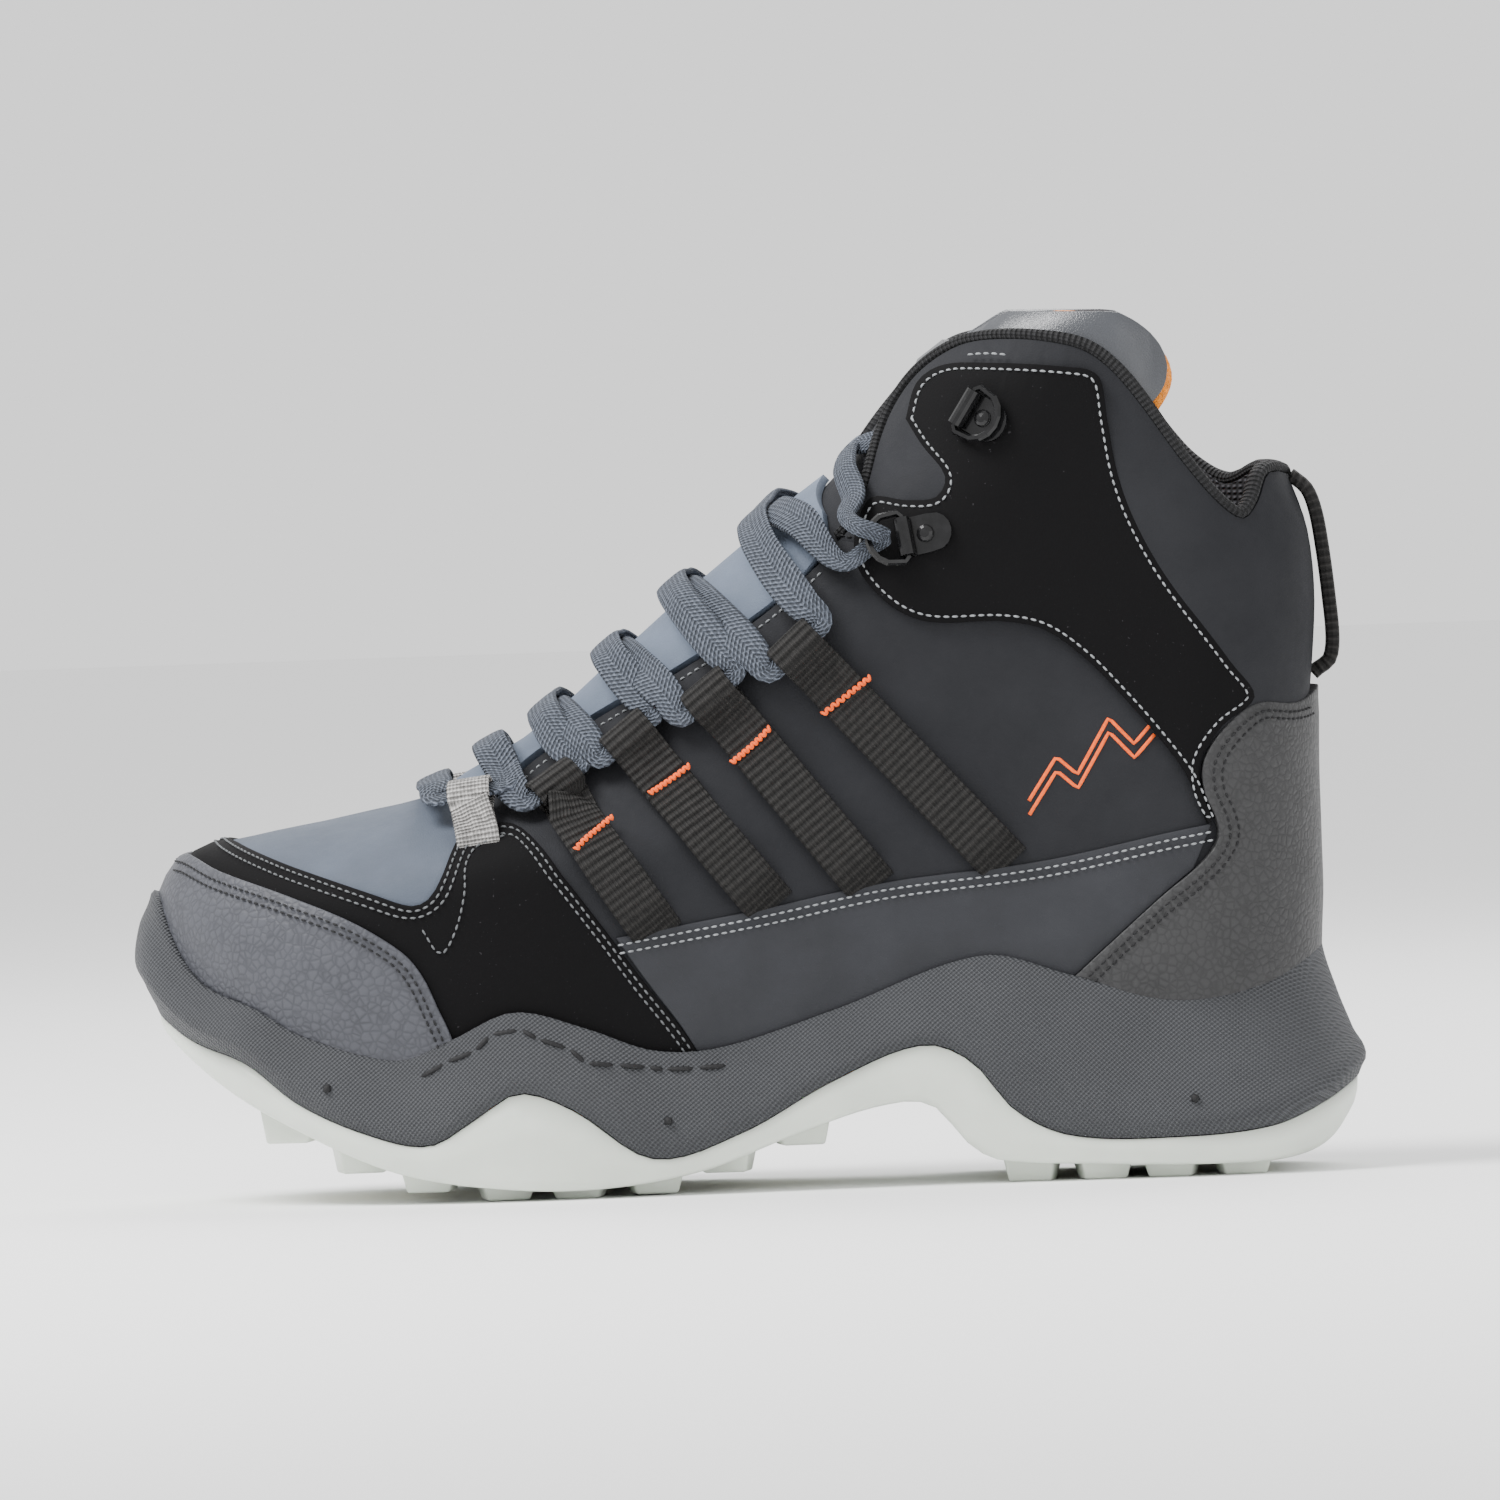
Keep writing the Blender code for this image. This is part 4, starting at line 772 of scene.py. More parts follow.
def moulded_weave(name, colour):
    """Foam with a fine diagonal canvas texture moulded into its wall."""
    made = Nodes(name, colour, 0.62, specular=0.2)
    turned = made.add("ShaderNodeMapping")
    turned.inputs["Rotation"].default_value = [math.radians(angle) for angle in (35, 40, 30)]
    made.link(made.place, turned.inputs["Vector"])
    grid = made.math("ADD", *(made.bands(390, way, turned.outputs["Vector"]) for way in "XZ"))
    # Base colour follows the canvas relief: painted shade in its grooves and painted light on its ridges,
    # mixed with real random tone.
    made.shade(made.mix(made.math("MULTIPLY", grid, 0.35), made.noise(60, 5), 0.3), 0.62, 1.3, 0.2, 0.85)
    made.bump(grid, 0.8, 0.0004)
    return made.material


def rubber_translucent(name, colour, roughness=0.38):
    """Milky rubber that lets some light in."""
    made = Nodes(name, colour, roughness)
    made.shade(made.noise(45, 4), 0.92, 1.05)
    made.rough(made.noise(260), roughness - 0.06, roughness + 0.1)
    made.shader.inputs["Subsurface Weight"].default_value = 0.35
    made.shader.inputs["Subsurface Radius"].default_value = (0.006, 0.007, 0.006)
    made.bump(made.noise(500, 3), 0.12, 0.0004)
    return made.material


def along_band(made):
    """Across and along coordinates, in mm, of a swept band."""
    parts = made.add("ShaderNodeSeparateXYZ")
    made.link(made.add("ShaderNodeUVMap", uv_map="along").outputs["UV"], parts.inputs["Vector"])
    return parts.outputs["X"], parts.outputs["Y"]


def braid(name, colour):
    """Flat braid: rows of chevrons that meet at the middle."""
    made = Nodes(name, colour, 0.85)
    across, along = along_band(made)
    slant = made.mix(along, made.math("ABSOLUTE", across), 0.75)
    height = made.mix(made.wave(slant, 1.25), made.wave(across, 1.15), 0.6)
    # Base colour follows the chevrons' relief: painted shade in the grooves and painted light on the crests,
    # mixed with real random tone.
    made.shade(made.mix(made.noise(1500, 2), height, 0.22), 0.42, 1.65, 0.3, 0.85)
    made.bump(height, 0.9, 0.0005)
    return made.material


def webbing(name, colour, pitch=2.0):
    """Ribbed tape: cross ribs with a finer weave along them."""
    made = Nodes(name, colour, 0.8)
    across, along = along_band(made)
    height = made.mix(made.wave(along, pitch), made.wave(across, 0.9), 0.45)
    # Base colour follows the ribs' relief: painted shade in the grooves and painted light on the ribs, mixed
    # with real random tone.
    made.shade(made.mix(made.noise(700, 3), height, 0.25), 0.45, 1.9, 0.25, 0.9)
    made.bump(height, 0.9, 0.0005)
    return made.material


def thread(name, colour):
    """Twisted sewing thread."""
    made = Nodes(name, colour, 0.7)
    made.shade(made.noise(1200, 2), 0.8, 1.15)
    made.bump(made.noise(3000, 2), 0.4, 0.0002)
    return made.material


def dark_metal(name):
    """Black plated metal, slightly worn."""
    made = Nodes(name, (0.006, 0.006, 0.0065), 0.14, specular=0.32)
    made.shade(made.noise(380, 5), 0.8, 1.6, 0.45, 0.8)
    made.rough(made.noise(900, 3), 0.10, 0.26)
    made.bump(made.noise(1200, 3), 0.05, 0.0002)
    return made.material


def plain_stuff(name, colour, roughness, metallic=0.0):
    """Inner material that only a cut or an X-ray would show: fibre, foam or steel."""
    made = Nodes(name, colour, roughness, metallic)
    made.shade(made.noise(250, 5), 0.85, 1.12)
    made.bump(made.noise(900, 4), 0.3, 0.0004)
    return made.material


SLATE = nubuck("slate_nubuck", (0.066, 0.080, 0.106))
TONGUE_SLATE = nubuck("tongue_slate", (0.105, 0.130, 0.175))
TONGUE_LEATHER = nubuck("tongue_leather", (0.034, 0.037, 0.044), 0.32, 0.7)
GRAPHITE = nubuck("graphite_nubuck", (0.0175, 0.0180, 0.0205), specular=0.12)
PANEL_GREY = nubuck("panel_nubuck", (0.029, 0.030, 0.034), specular=0.16)
SUEDE = suede("black_suede", (0.0044, 0.0042, 0.0046))
CAP_LEATHER = pebbled("toe_leather", (0.061, 0.063, 0.073))
HEEL_LEATHER = pebbled("heel_leather", (0.034, 0.034, 0.035))
MESH = waffle("lining_mesh", (0.030, 0.030, 0.034))
BINDING = webbing("collar_binding", (0.011, 0.011, 0.012), 1.3)
FLEECE = fleece("orange_fleece", (0.86, 0.26, 0.012))
FOAM_WALL = moulded_weave("midsole_foam", (0.058, 0.060, 0.065))
RUBBER = rubber_translucent("outsole_rubber", (0.66, 0.70, 0.63))
LUG_RUBBER = rubber_translucent("lug_rubber", (0.72, 0.69, 0.50), 0.5)
LACE = braid("lace_braid", (0.096, 0.110, 0.138))
TAPE = webbing("black_webbing", (0.0125, 0.0116, 0.0110))
GREY_TAPE = webbing("grey_webbing", (0.33, 0.32, 0.31), 1.1)
WHITE_THREAD = thread("pale_thread", (0.24, 0.25, 0.26))
GREY_THREAD = thread("dark_grey_thread", (0.11, 0.115, 0.12))
BLACK_THREAD = thread("black_thread", (0.010, 0.010, 0.011))
ORANGE_THREAD = thread("orange_thread", (0.88, 0.115, 0.012))
METAL = dark_metal("dark_metal")


# ================================================================ the upper
def bottom_of(path):
    """The same path carried down into the sole."""
    return np.vstack([[(path[0][0], SOLE_RING)], path])


def through_front(path):
    """Closed polygon between a lateral path, bottom to top, and its medial twin."""
    return np.vstack([path, mirrored(path)])


def twin(polygon):
    """The same polygon on the medial side."""
    other = polygon.copy()
    other[:, 0] = -other[:, 0]
    return other


def toe_pieces():
    """Vamp, mudguard and toe cap."""
    rear = bottom_of(drawn(VAMP_REAR))
    panel("vamp_skin", through_front(rear), BASE, SLATE, ("vamp",), puff=0.7, reach=12)
    guard = bottom_of(drawn(MUDGUARD_REAR))
    panel("mudguard_skin", through_front(guard), OVERLAY, SUEDE, ("mudguard",))
    cap = bottom_of(drawn(CAP_REAR))
    panel("toe_cap_skin", through_front(cap), CAP, CAP_LEATHER, ("toe_cap",), puff=0.5, reach=10)


def side_pieces():
    """Quarters, collar, ankle overlays, side panels and heel counter."""
    eyestay = drawn(EYESTAY)
    seam = drawn(COLLAR_SEAM)
    seam_ring = seam[-1][1]
    front = bottom_of(drawn(QUARTER_FRONT))
    quarter = np.vstack([front, eyestay, seam, [(HEEL_TURN, seam_ring), (HEEL_TURN, SOLE_RING)]])
    top = drawn(COLLAR_TOP)
    under = np.vstack([[(HEEL_TURN, top[-1][1]), (HEEL_TURN, seam_ring)], seam[::-1][:-1]])
    collars = {"lateral": np.vstack([top, under]), "medial": np.vstack([drawn(MEDIAL_COLLAR_TOP), under])}
    ankle = drawn(ANKLE)[:-1]
    side = np.vstack([bottom_of(drawn(SIDE_FRONT)), drawn(SIDE_TOP), drawn(COUNTER_FRONT[:5])[::-1][1:]])
    side = np.vstack([side, [(side[-1][0], SOLE_RING)]])
    for _, word in SIDES:
        turned = (lambda polygon: polygon) if word == "lateral" else twin
        panel(f"quarter_skin_{word}", turned(quarter), BASE, GRAPHITE, (f"quarter_{word}",), puff=0.5,
              reach=10)
        panel(f"collar_skin_{word}", turned(collars[word]), BASE, GRAPHITE, (f"collar_{word}",), puff=2.3,
              reach=9)
        panel(f"ankle_skin_{word}", turned(ankle), ANKLE_LAYER, SUEDE, (f"ankle_overlay_{word}",))
        panel(f"side_skin_{word}", turned(side), OVERLAY, PANEL_GREY, (f"side_panel_{word}",), puff=0.6)
    counter = bottom_of(drawn(COUNTER_FRONT))
    closed = np.vstack([counter, mirrored(counter, heel=True)])
    panel("heel_counter_skin", closed, COUNTER_LAYER, HEEL_LEATHER, ("heel_counter",), puff=0.8, reach=5,
          edge=0.7)


def inner_pieces():
    """Tongue, gusset and linings."""
    edge = drawn([(x - 0.8, z + 0.8) for x, z in THROAT])
    pad = np.vstack([edge, [(0.0, TONGUE_PAD_PEAK)], mirrored(edge)])
    panel("tongue_pad", pad, TONGUE_PAD, TONGUE_SLATE, ("tongue",), puff=1.4, reach=5)
    low, split = drawn(TONGUE_EDGE), drawn(TONGUE_SPLIT)
    middle = [(0.0, split[-1][1])]
    gusset = np.vstack([low, split, middle])
    panel("gusset_skin", np.vstack([gusset, mirrored(gusset)[1:]]), TONGUE, GRAPHITE, ("tongue_gusset",))
    upper = np.vstack([split[::-1], drawn(LEATHER_REAR)[1:]])
    upper = np.vstack([upper, [(0.0, TONGUE_PEAK)], mirrored(upper), middle])
    panel("tongue_top_skin", upper, TONGUE_TOP, TONGUE_LEATHER, ("tongue_top",), puff=2.2, reach=5)
    lined = np.vstack([low, drawn(TONGUE_REAR), [(0.0, FLEECE_PEAK)]])
    panel("tongue_fleece", np.vstack([lined, mirrored(lined)[1:]]), TONGUE_FLEECE, FLEECE,
          ("tongue_lining", "tongue_top_lining"), edge=1.0)
    front = np.vstack([[(0.0, SOLE_RING), (0.0, LINING_RING)],
                       drawn([(x + 0.6, z - 0.3) for x, z in TONGUE_EDGE])])
    wall, far_wall = [np.vstack([front, drawn(top)]) for top in (LINING_TOP, MEDIAL_LINING_TOP)]
    lining = np.vstack([wall, mirrored(far_wall, heel=True)])
    panel("lining_skin", lining, LINING, MESH, ("lining",), edge=0.3)


def collar_binding():
    """Rolled edge along the top and front of the collar, with the padded lip of the heel."""
    lines = (COLLAR_TOP, MEDIAL_COLLAR_TOP)
    path, far = [on_surface(inset(curve(line, 1.2), BINDING_INSET)) for line in lines]
    whole = np.vstack([path, mirrored(far, heel=True)[1:]])
    points = over(whole, 0.0)
    table = resample(np.hstack([points, over(whole, 1.0) - points]), 1.5)
    profile = oval(BINDING_WIDTH, BINDING_HEIGHT, 12, 1.0)
    sweep("collar_binding_roll", table[:, :3], table[:, 3:], profile, BINDING)


# Rows of stitches: name, line, points left out at its start and end, distances from the line, height
# over the surface and thread.
SEAMS = (("cap_seam", CAP_REAR, 3, 0, (2.0, 3.6), 5.15, BLACK_THREAD),
         ("guard_seam", MUDGUARD_REAR, 3, 0, (1.2, 2.8), 3.3, GREY_THREAD),
         ("side_seam", SIDE_TOP, 0, 0, (-1.8, -3.8), 3.65, WHITE_THREAD),
         ("eyestay_seam", EYESTAY, 0, 0, (-1.8,), 1.75, WHITE_THREAD),
         ("ankle_seam", ANKLE, 0, 0, (-1.5,), 4.15, WHITE_THREAD),
         ("counter_seam", COUNTER_FRONT, 0, 3, (-2.2, -4.0), 4.9, BLACK_THREAD),
         ("notch_seam", NOTCH, 0, 0, (0,), 3.3, GREY_THREAD),
         ("collar_marks", COLLAR_MARKS, 0, 0, (0,), 4.2, WHITE_THREAD),
         ("collar_low_seam", COLLAR_SEAM[:4], 0, 0, (1.0,), 1.9, BLACK_THREAD))


def seams():
    """Rows of stitches that follow the pieces' edges."""
    number = 0
    for name, line, skip, drop, distances, height, finish in SEAMS:
        path = curve(line, SEAM_STEP)
        path = path[skip:len(path) - drop]
        for distance in distances:
            for word, stitched in both_sides(on_surface(inset(path, distance))):
                stitch_row(f"{name}_{number}_{word}", stitched, height, finish)
            number += 1


def accent_lines():
    """Thin raised orange print."""
    for number, drop in enumerate(ACCENT_DROPS):
        line = resample([(x, z - drop) for x, z in ACCENT], 1.5)
        for word, path in both_sides(on_surface(line)):
            points = over(path, ACCENT_HEIGHT)
            outs = over(path, ACCENT_HEIGHT + 1) - points
            sweep(f"accent_{number}_{word}", points, outs, oval(0.9, 0.3, 6), ORANGE_THREAD)


# ================================================================ webbing and lace
def eye_frame(top, tail, side, start):
    """Place of a strap's fold."""
    return surface_frame(top[0], top[1], side, start, (tail[0] - top[0], tail[1] - top[1]))


def strap(name, top, tail, side, start, finish, node, width=STRAP_WIDTH):
    """Ribbed tape folded over the lace, with its end tucked under the piece below it."""
    drop = Vector((tail[0] - top[0], tail[1] - top[1]))
    length = drop.length
    drop.normalize()
    steps = max(int(length / LEG_STEP), 3)
    legs = [LEG_START + (length + TUCK - LEG_START) * k / steps for k in range(steps + 1)]
    eye = eye_frame(top, tail, side, start)
    path, outs = [], []

    def leg(runs, out, facing):
        for down in runs:
            height = start - (start - TUCK_HEIGHT) * tucked(down, length)
            spot = surface_frame(top[0] + drop.x * down, top[1] + drop.y * down, side, height + out, drop)
            path.append(spot.translation)
            outs.append(spot.to_3x3().col[2] * facing)

    leg(reversed(legs), 0.0, -1)
    for down, out in curve(FOLD, 0.8):
        way = np.array([down, out]) - np.array(EYE_MIDDLE)
        way = way / np.linalg.norm(way)
        path.append(eye @ Vector((down, 0, out)))
        outs.append(eye.to_3x3() @ Vector((way[0], 0, way[1])))
    leg(legs, LEG_GAP, 1)
    item = sweep(name, path, outs, oval(width, STRAP_THICKNESS, 12, 0.35), finish)
    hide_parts(node)


def tucked(down, length):
    """Share of the way under the next piece."""
    return ease(down, length - 2.5, length + TUCK - 1.5)


def straps():
    """Webbing loops with their bartacks, and the toe loops."""
    for side, word in SIDES:
        for number, (top, tail) in enumerate(STRAPS, 1):
            node = f"webbing_loop_{word}_{number}"
            strap(f"tape_{word}_{number}", top, tail, side, STRAP_START, TAPE, node)
            bartack(f"bartack_{word}_{number}", BARTACKS[number - 1], side)
        strap(f"toe_tape_{word}", TOE_LOOP[0], TOE_LOOP_END, side, TOE_LOOP_START, GREY_TAPE,
              f"toe_lace_loop_{word}", width=TOE_LOOP_WIDTH)


def bartack(name, ends, side):
    """Zigzag of orange thread across a strap."""
    start, end = [np.array(foot_below(*place, side, 5.9)) for place in ends]
    path = np.array([start + (end - start) * k / BARTACK_STEPS for k in range(BARTACK_STEPS + 1)])
    points = over(path, BARTACK_HEIGHT)
    lifted = over(path, BARTACK_HEIGHT + 1)
    way = (points[-1] - points[0]) / np.linalg.norm(points[-1] - points[0])
    vertices, faces = [], []
    for k in range(BARTACK_STEPS):
        out = lifted[k] - points[k]
        swing = np.cross(way, out) * 0.8 * (-1) ** k
        add_stitch(vertices, faces, points[k] - swing, points[k + 1] + swing, out, 1.0, 0.42)
    add_mesh(name, vertices, faces, ORANGE_THREAD)


def eye_points(top, tail, side, start):
    """Points through a fold's eye, toe end first, with the way that the lace's flat side faces."""
    eye = eye_frame(top, tail, side, start)
    toward = 1 if eye.col[1].x > 0 else -1
    down, out = EYE_MIDDLE
    reach = (STRAP_WIDTH / 2 + EYE_CLEARANCE) * toward
    route = [(down - 6.5, -reach, 0.6), (down - 0.5, -reach, 0.2), (down, -0.4 * reach, 0),
             (down, 0.4 * reach, 0), (down - 0.5, reach, 0.2), (down - 6.5, reach, 0.6)]
    facing = eye.to_3x3().col[2]
    return [(eye @ Vector((x, y, out + z)), facing, share)
            for (x, y, z), share in zip(route, (0.95, 0.7, 0.55, 0.55, 0.7, 0.95))]


RIDGE = [(ring, upper_point(0, ring, 0), upper_point(0, ring, 1)) for ring in np.arange(6.0, 12.5, 0.05)]


def crossing(start, end, height):
    """From one side of the throat to the other, arched over the tongue's ridge."""
    middle = (start + end) / 2
    _, foot, above = min(RIDGE, key=lambda row: (row[1] - middle).length)
    out = (above - foot).normalized()
    crest = foot + out * height
    points = []
    for share in CROSSING_SHARES:
        arch = 1 - (2 * share - 1) ** 4
        point = start.lerp(end, share) + (crest - middle) * arch
        lean = Vector((0, (point.y - foot.y) / LEAN_LENGTH, 0))
        points.append((point, (out + lean).normalized(), 1.0))
    return points


def lace_half(side, high):
    """Points of half the lace, from the toe loop up to where it is tucked in behind the collar."""
    points = []
    for number, (top, tail) in enumerate([TOE_LOOP] + STRAPS):
        here = eye_points(top, tail, side, STRAP_START if number else TOE_LOOP_START)
        if points:
            points += crossing(points[-1][0], here[0][0], HIGH_CROSSING if high else LOW_CROSSING)
            high = not high
        points += here
        side = -side
    hook = surface_frame(*LOWER_HOOK[0], side, BARREL_LIFT, LOWER_HOOK[1])
    facing = hook.to_3x3().col[2]
    run = [(hook @ Vector((x, -side * y, z)), facing, 0.5) for x, y, z in RING_RUN]
    for x, z, height in LACE_TOP:
        run.append((*outward(*foot_below(x, z, side, height), height), 0.75))
    points += crossing(points[-1][0], run[0][0], HIGH_CROSSING if high else LOW_CROSSING)
    return points + run


def lace():
    """The whole lace as one flat braid, toe bar in the middle."""
    lateral, medial = lace_half(-1, True), lace_half(1, False)
    bar = crossing(lateral[0][0], medial[0][0], LOW_CROSSING)
    route = lateral[::-1] + bar + medial
    table = np.array([[*point, *out, share] for point, out, share in route])
    gaps = np.linalg.norm(np.diff(table[:, :3], axis=0), axis=1)
    at = np.concatenate([[0], np.cumsum(gaps)])
    slopes = np.gradient(table, at, axis=0)
    fine = []
    for k, gap in enumerate(gaps):
        for t in np.arange(0, 1, min(1.3 / gap, 1)):
            fine.append(span_point(t, gap, table[k], table[k + 1], slopes[k], slopes[k + 1]))
    fine = np.array(fine)
    item = sweep("flat_lace", fine[:, :3], fine[:, 3:6], oval(LACE_WIDTH, LACE_THICKNESS, 14, 0.7), LACE,
                 widths=fine[:, 6])
    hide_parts("lace")


def pull_loop():
    """Webbing loop at the heel."""
    route = curve(PULL_ROUTE, 1.5)
    points = np.column_stack([route[:, 0], np.zeros(len(route)), route[:, 1]])
    way = np.gradient(route, axis=0)
    outs = np.column_stack([-way[:, 1], np.zeros(len(route)), way[:, 0]])
    item = sweep("heel_pull_tape", points, outs, oval(PULL_WIDTH, PULL_THICKNESS, 12, 0.4), TAPE)
    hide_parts("pull_loop")


# ================================================================ the sole
SOLE_ANGLES = around(SOLE_TURNS)


@lru_cache(maxsize=None)
def lip_ring(turn):
    """Ring of the upper's surface where the midsole's lip crosses it."""
    low, high = 0.0, HIGHEST_LIP_RING
    for _ in range(24):
        ring = (low + high) / 2
        point = base_point(ring, turn)
        if point.z > line_at(LIP, point.x):
            high = ring
        else:
            low = ring
    return ring


@lru_cache(maxsize=None)
def plan_out(turn):
    """Way that faces out from the upper in plan."""
    here = base_point(1.0, turn)
    out = upper_point(turn, 1.0, 1.0) - here
    out.z = 0
    return out.normalized()


def wall_values(share):
    """Toe, side and heel stand-out of the wall at a share of its height, smoothly between its rows."""
    index = max(k for k in range(len(WALL) - 1) if WALL[k][0] <= share + 1e-9)
    low, high = WALL[index], WALL[index + 1]
    t = (share - low[0]) / (high[0] - low[0])
    return row_at([row[1:] for row in WALL], index + t)


def wall_point(turn, share):
    """Point of the midsole's wall at a share of its height, from its lip down."""
    forward = (1 + math.cos(turn)) / 2
    toe, side, heel = wall_values(share)
    out = side + (toe - side) * ease(forward, 0.80, 0.98) + (heel - side) * ease(1 - forward, 0.80, 0.98)
    lip = base_point(lip_ring(turn), turn)
    foot = lip + plan_out(turn) * out
    return Vector((foot.x, foot.y, lip.z + (line_at(WELT, foot.x) - lip.z) * share))


def shifted(ring, distance, lift=0.0):
    """Ring of points moved outward in plan, and up."""
    up = Vector((0, 0, lift))
    return [point + plan_out(turn) * distance + up for turn, point in zip(SOLE_ANGLES, ring)]


def lofted(name, rings, finish, node):
    """Closed skin through rings of points, in place of a CAD node."""
    count = len(rings[0])
    vertices = [point for ring in rings for point in ring]
    faces = band_faces(len(rings), count)
    for start in (0, (len(rings) - 1) * count):
        half = count // 2
        for k in range(1, half - 1):
            faces.append((start + k, start + k + 1, start + count - k - 1, start + count - k))
    item = add_mesh(name, vertices, faces, finish)
    turn_outward(item)
    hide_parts(node)


def inner_ring(edge, inset_by, drop, line):
    """Ring inside the edge, at a height from a sole line."""
    return [Vector((point.x, point.y, line_at(line, point.x) + drop)) for point in shifted(edge, -inset_by)]


def midsole():
    """Foam cup with a rounded lip and a bulging wall."""
    wall = [[wall_point(turn, k / WALL_ROWS) for turn in SOLE_ANGLES] for k in range(WALL_ROWS + 1)]
    inner = shifted(wall[0], -LIP_WIDTH)
    crest = shifted(wall[0], -CREST, CREST)
    well, lip = shifted(inner, 0, -WELL_DEPTH), shifted(inner, 0, 0.35)
    under = inner_ring(wall[-1], 8, 0, WELT)
    lofted("midsole_skin", [well, lip, crest] + wall + [under], FOAM_WALL, "midsole")
    groove(wall)
    nubs(wall)


def near_wall(wall, x, z):
    """Point of the wall's lateral side that the side view shows at (x, z), and its outward way."""
    best = None
    for row in wall:
        for turn, point in zip(SOLE_ANGLES, row):
            if math.sin(turn) > 0:
                away = (point.x - x) ** 2 + (point.z - z) ** 2
                if best is None or away < best[0]:
                    best = (away, point, turn)
    return np.array(best[1]), np.array(plan_out(best[2]))


def groove(wall):
    """Rope-like stitches on both walls."""
    stops = resample(curve(MIDSOLE_SEAM, 2), MIDSOLE_STITCH)
    for mirror, word in ((1, "lateral"), (-1, "medial")):
        vertices, faces = [], []
        for a, b in zip(stops[:-1], stops[1:]):
            start, out = near_wall(wall, *a)
            end, _ = near_wall(wall, *b)
            flip = np.array([1, mirror, 1])
            add_stitch(vertices, faces, start * flip, end * flip, out * flip, 0.95, 0.62)
        if mirror < 0:
            vertices = [v + np.array([0, MEDIAL_SHIFT, 0]) for v in vertices]
        add_mesh(f"midsole_stitches_{word}", vertices, faces, BLACK_THREAD)


def nubs(wall):
    """Small moulded dots on the midsole's outer side."""
    vertices, faces = [], []
    for x, z in DOTS:
        point, out = near_wall(wall, x, z)
        up = np.array([0, 0, 1.2])
        add_stitch(vertices, faces, point - up, point + up, out, 1.0, 1.0)
    add_mesh("midsole_dots", vertices, faces, BLACK_THREAD)


def outsole():
    """Milky rubber shell below the midsole, with its lugs."""
    top = shifted([wall_point(turn, 1.0) for turn in SOLE_ANGLES], -0.3, -0.3)
    bottom = inner_ring(top, 1.4, 0.0, BASE_LINE)
    bulge = [(a + b) / 2 + plan_out(turn) * 0.5 for turn, a, b in zip(SOLE_ANGLES, top, bottom)]
    round_low = [a.lerp(b, 0.9) + plan_out(turn) * 0.25 for turn, a, b in zip(SOLE_ANGLES, top, bottom)]
    under = inner_ring(top, 3.0, -0.5, BASE_LINE)
    core = inner_ring(top, 8.0, -1.0, WELT)
    floor = inner_ring(top, 9.0, -0.5, BASE_LINE)
    lofted("outsole_skin", [core, top, bulge, round_low, bottom, under, floor], RUBBER, "outsole")
    for name, column, width, finish in (("inner_lugs", 1, INNER_LUG, LUG_RUBBER),
                                        ("outer_lugs", 2, OUTER_LUG, RUBBER)):
        vertices, faces = [], []
        for number, row in enumerate(LUG_ROWS):
            for y in (-row[column], row[column]):
                add_lug(vertices, faces, row[0], y, width, LUG_TWIST if number % 2 else -LUG_TWIST)
        lugs = add_mesh(name, vertices, faces, finish)
        turn_outward(lugs)
        soften(lugs, LUG_EDGE)


def add_lug(vertices, faces, x, y, width, twist):
    """Tapered block from the sole down to the tread line."""
    bottom = max(line_at(TREAD, x), 0.0)
    turn = Matrix.Rotation(math.radians(twist), 3, "Z")
    first = len(vertices)
    for size, low in ((LUG_TAPER, True), (1.0, False)):
        for dx, dy in ((-1, -1), (1, -1), (1, 1), (-1, 1)):
            spot = turn @ Vector((dx * LUG_LENGTH / 2 * size, dy * width / 2 * size, 0))
            z = bottom if low else line_at(BASE_LINE, x + dx * LUG_LENGTH / 2) + LUG_ROOT
            vertices.append(np.array((x + spot.x, y + middle_line(x) + spot.y, z)))
    faces += band_faces(2, 4, first)
    faces += [tuple(first + k for k in (3, 2, 1, 0)), tuple(first + 4 + k for k in range(4))]


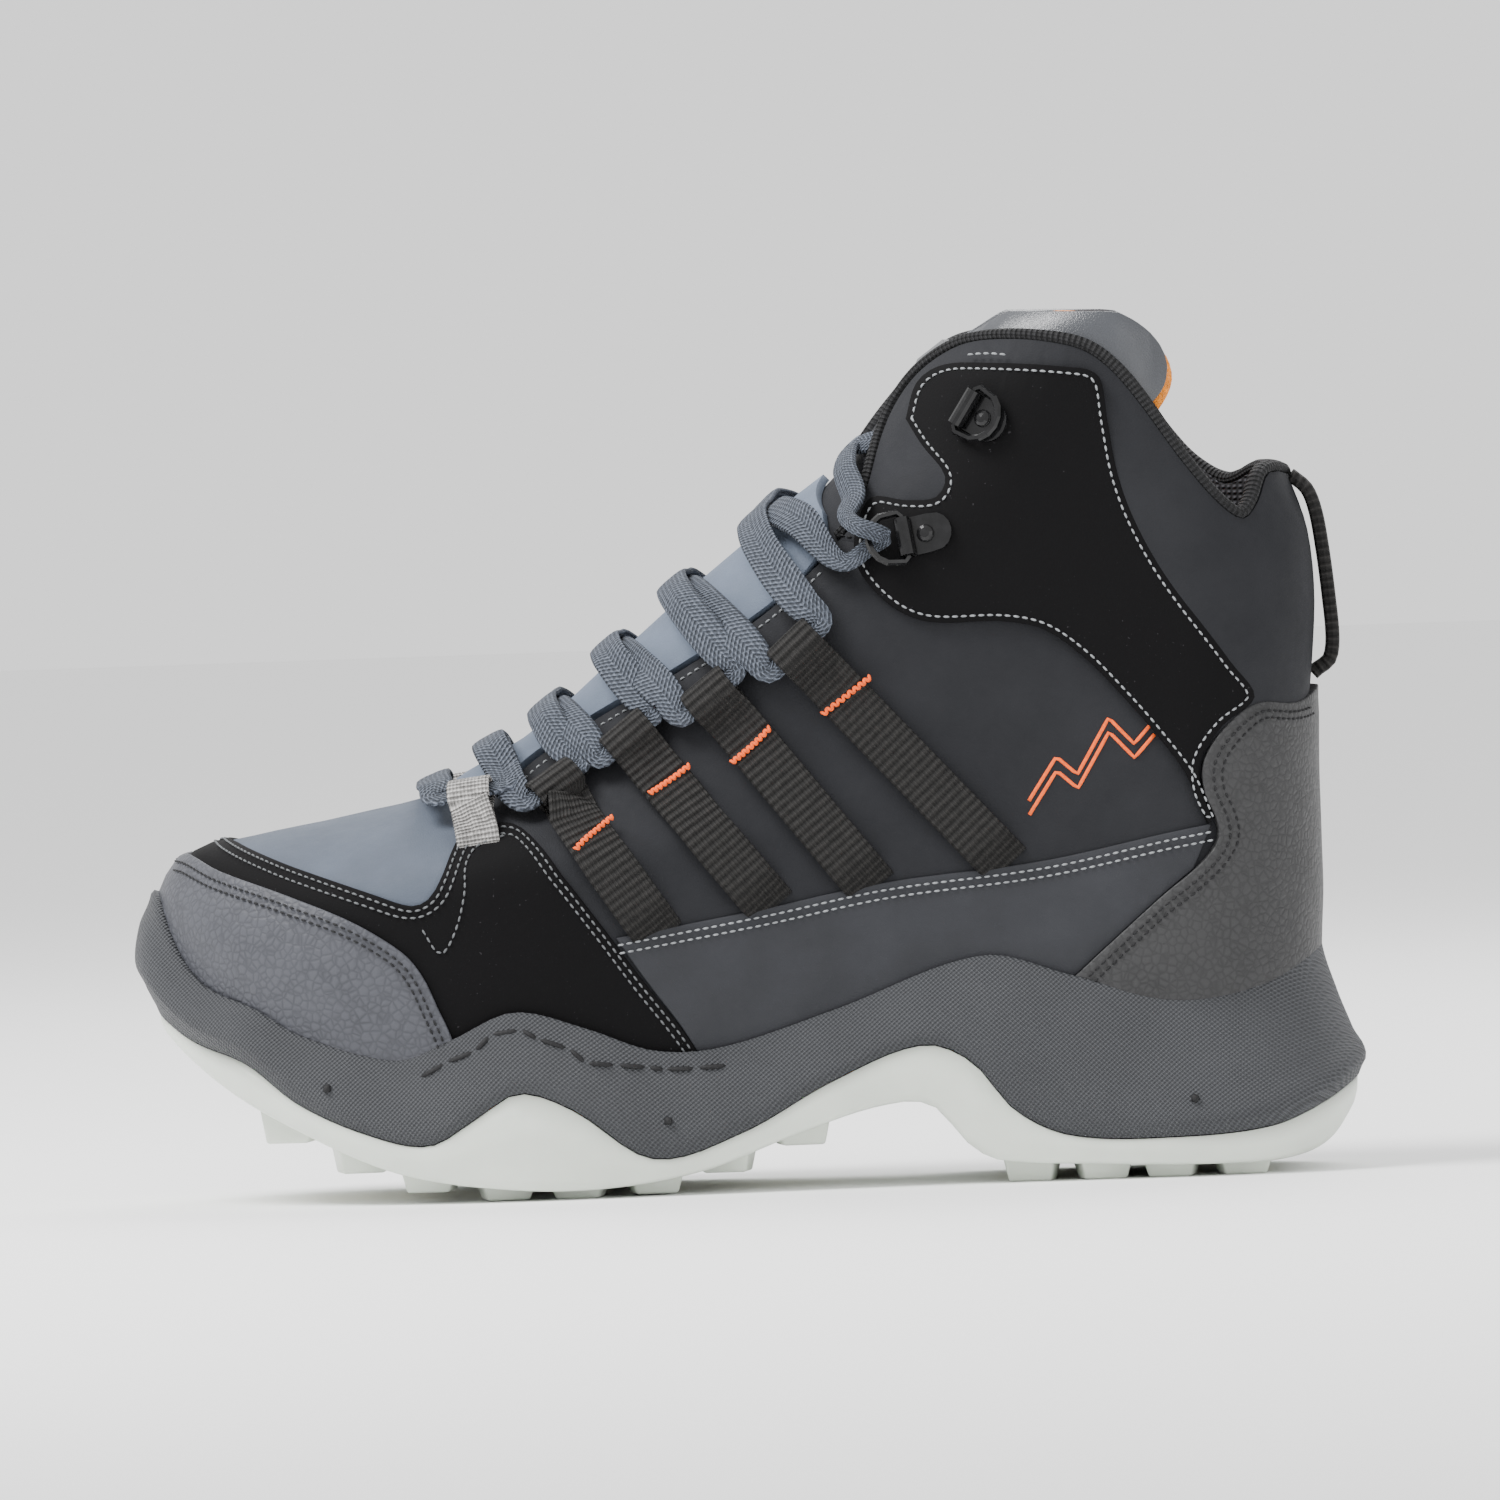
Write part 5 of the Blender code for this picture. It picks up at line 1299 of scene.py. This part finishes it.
# ================================================================ carried-over solids, camera and light
def finish_solids():
    """Materials of the hardware and of the pieces that lie hidden inside."""
    board = plain_stuff("board_fibre", (0.55, 0.47, 0.33), 0.85)
    stiff = plain_stuff("stiffener_sheet", (0.5, 0.5, 0.48), 0.6)
    foam = plain_stuff("collar_foam", (0.75, 0.74, 0.70), 0.9)
    steel = plain_stuff("spring_steel", (0.45, 0.45, 0.46), 0.35, 1.0)
    chosen = {"lasting_board": board, "toe_puff": stiff, "heel_stiffener": stiff, "collar_foam": foam,
              "shank": steel, "footbed": FLEECE}
    for name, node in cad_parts.items():
        finish = METAL if name.split("_")[1:2] in (["hook"], ["ring"], ["rivet"]) else chosen.get(name)
        if finish is not None:
            for spot in node.material_slots:
                spot.material = finish


def camera():
    """Camera level with the boot, far away."""
    data = bpy.data.cameras.new("camera")
    data.lens = LENS
    item = put(bpy.data.objects.new("camera", data))
    tilt = math.radians(ELEVATION)
    item.location = (AIM[0], AIM[1] - DISTANCE * math.cos(tilt), AIM[2] + DISTANCE * math.sin(tilt))
    turn = Matrix.Rotation(math.pi / 2 - tilt, 4, "X") @ Matrix.Rotation(math.radians(ROLL), 4, "Z")
    item.rotation_euler = turn.to_euler()
    bpy.context.scene.camera = item


def area_light(name, place, size, power):
    """Soft square light, turned to the boot."""
    data = bpy.data.lights.new(name, "AREA")
    data.size = size
    data.energy = power
    item = put(bpy.data.objects.new(name, data))
    item.location = place
    item.rotation_euler = (LIGHTS_AIM - Vector(place)).to_track_quat("-Z", "Y").to_euler()


def studio():
    """Floor, sky and lights."""
    mesh = bpy.data.meshes.new("floor")
    corners = ((-1, -1), (1, -1), (1, 1), (-1, 1))
    mesh.from_pydata([(x * FLOOR_REACH, y * FLOOR_REACH, 0) for x, y in corners], [], [(0, 1, 2, 3)])
    mesh.materials.append(Nodes("floor_white", (0.92, 0.92, 0.92), 0.9).material)
    put(bpy.data.objects.new("floor", mesh))
    world = bpy.data.worlds.new("studio")
    world.use_nodes = True
    background = world.node_tree.nodes["Background"]
    background.inputs["Color"].default_value = (1, 1, 1, 1)
    background.inputs["Strength"].default_value = SKY
    bpy.context.scene.world = world
    for light in LIGHTS:
        area_light(*light)


camera()
lace()
straps()
toe_pieces()
side_pieces()
inner_pieces()
collar_binding()
seams()
accent_lines()
pull_loop()
midsole()
outsole()
finish_solids()
studio()
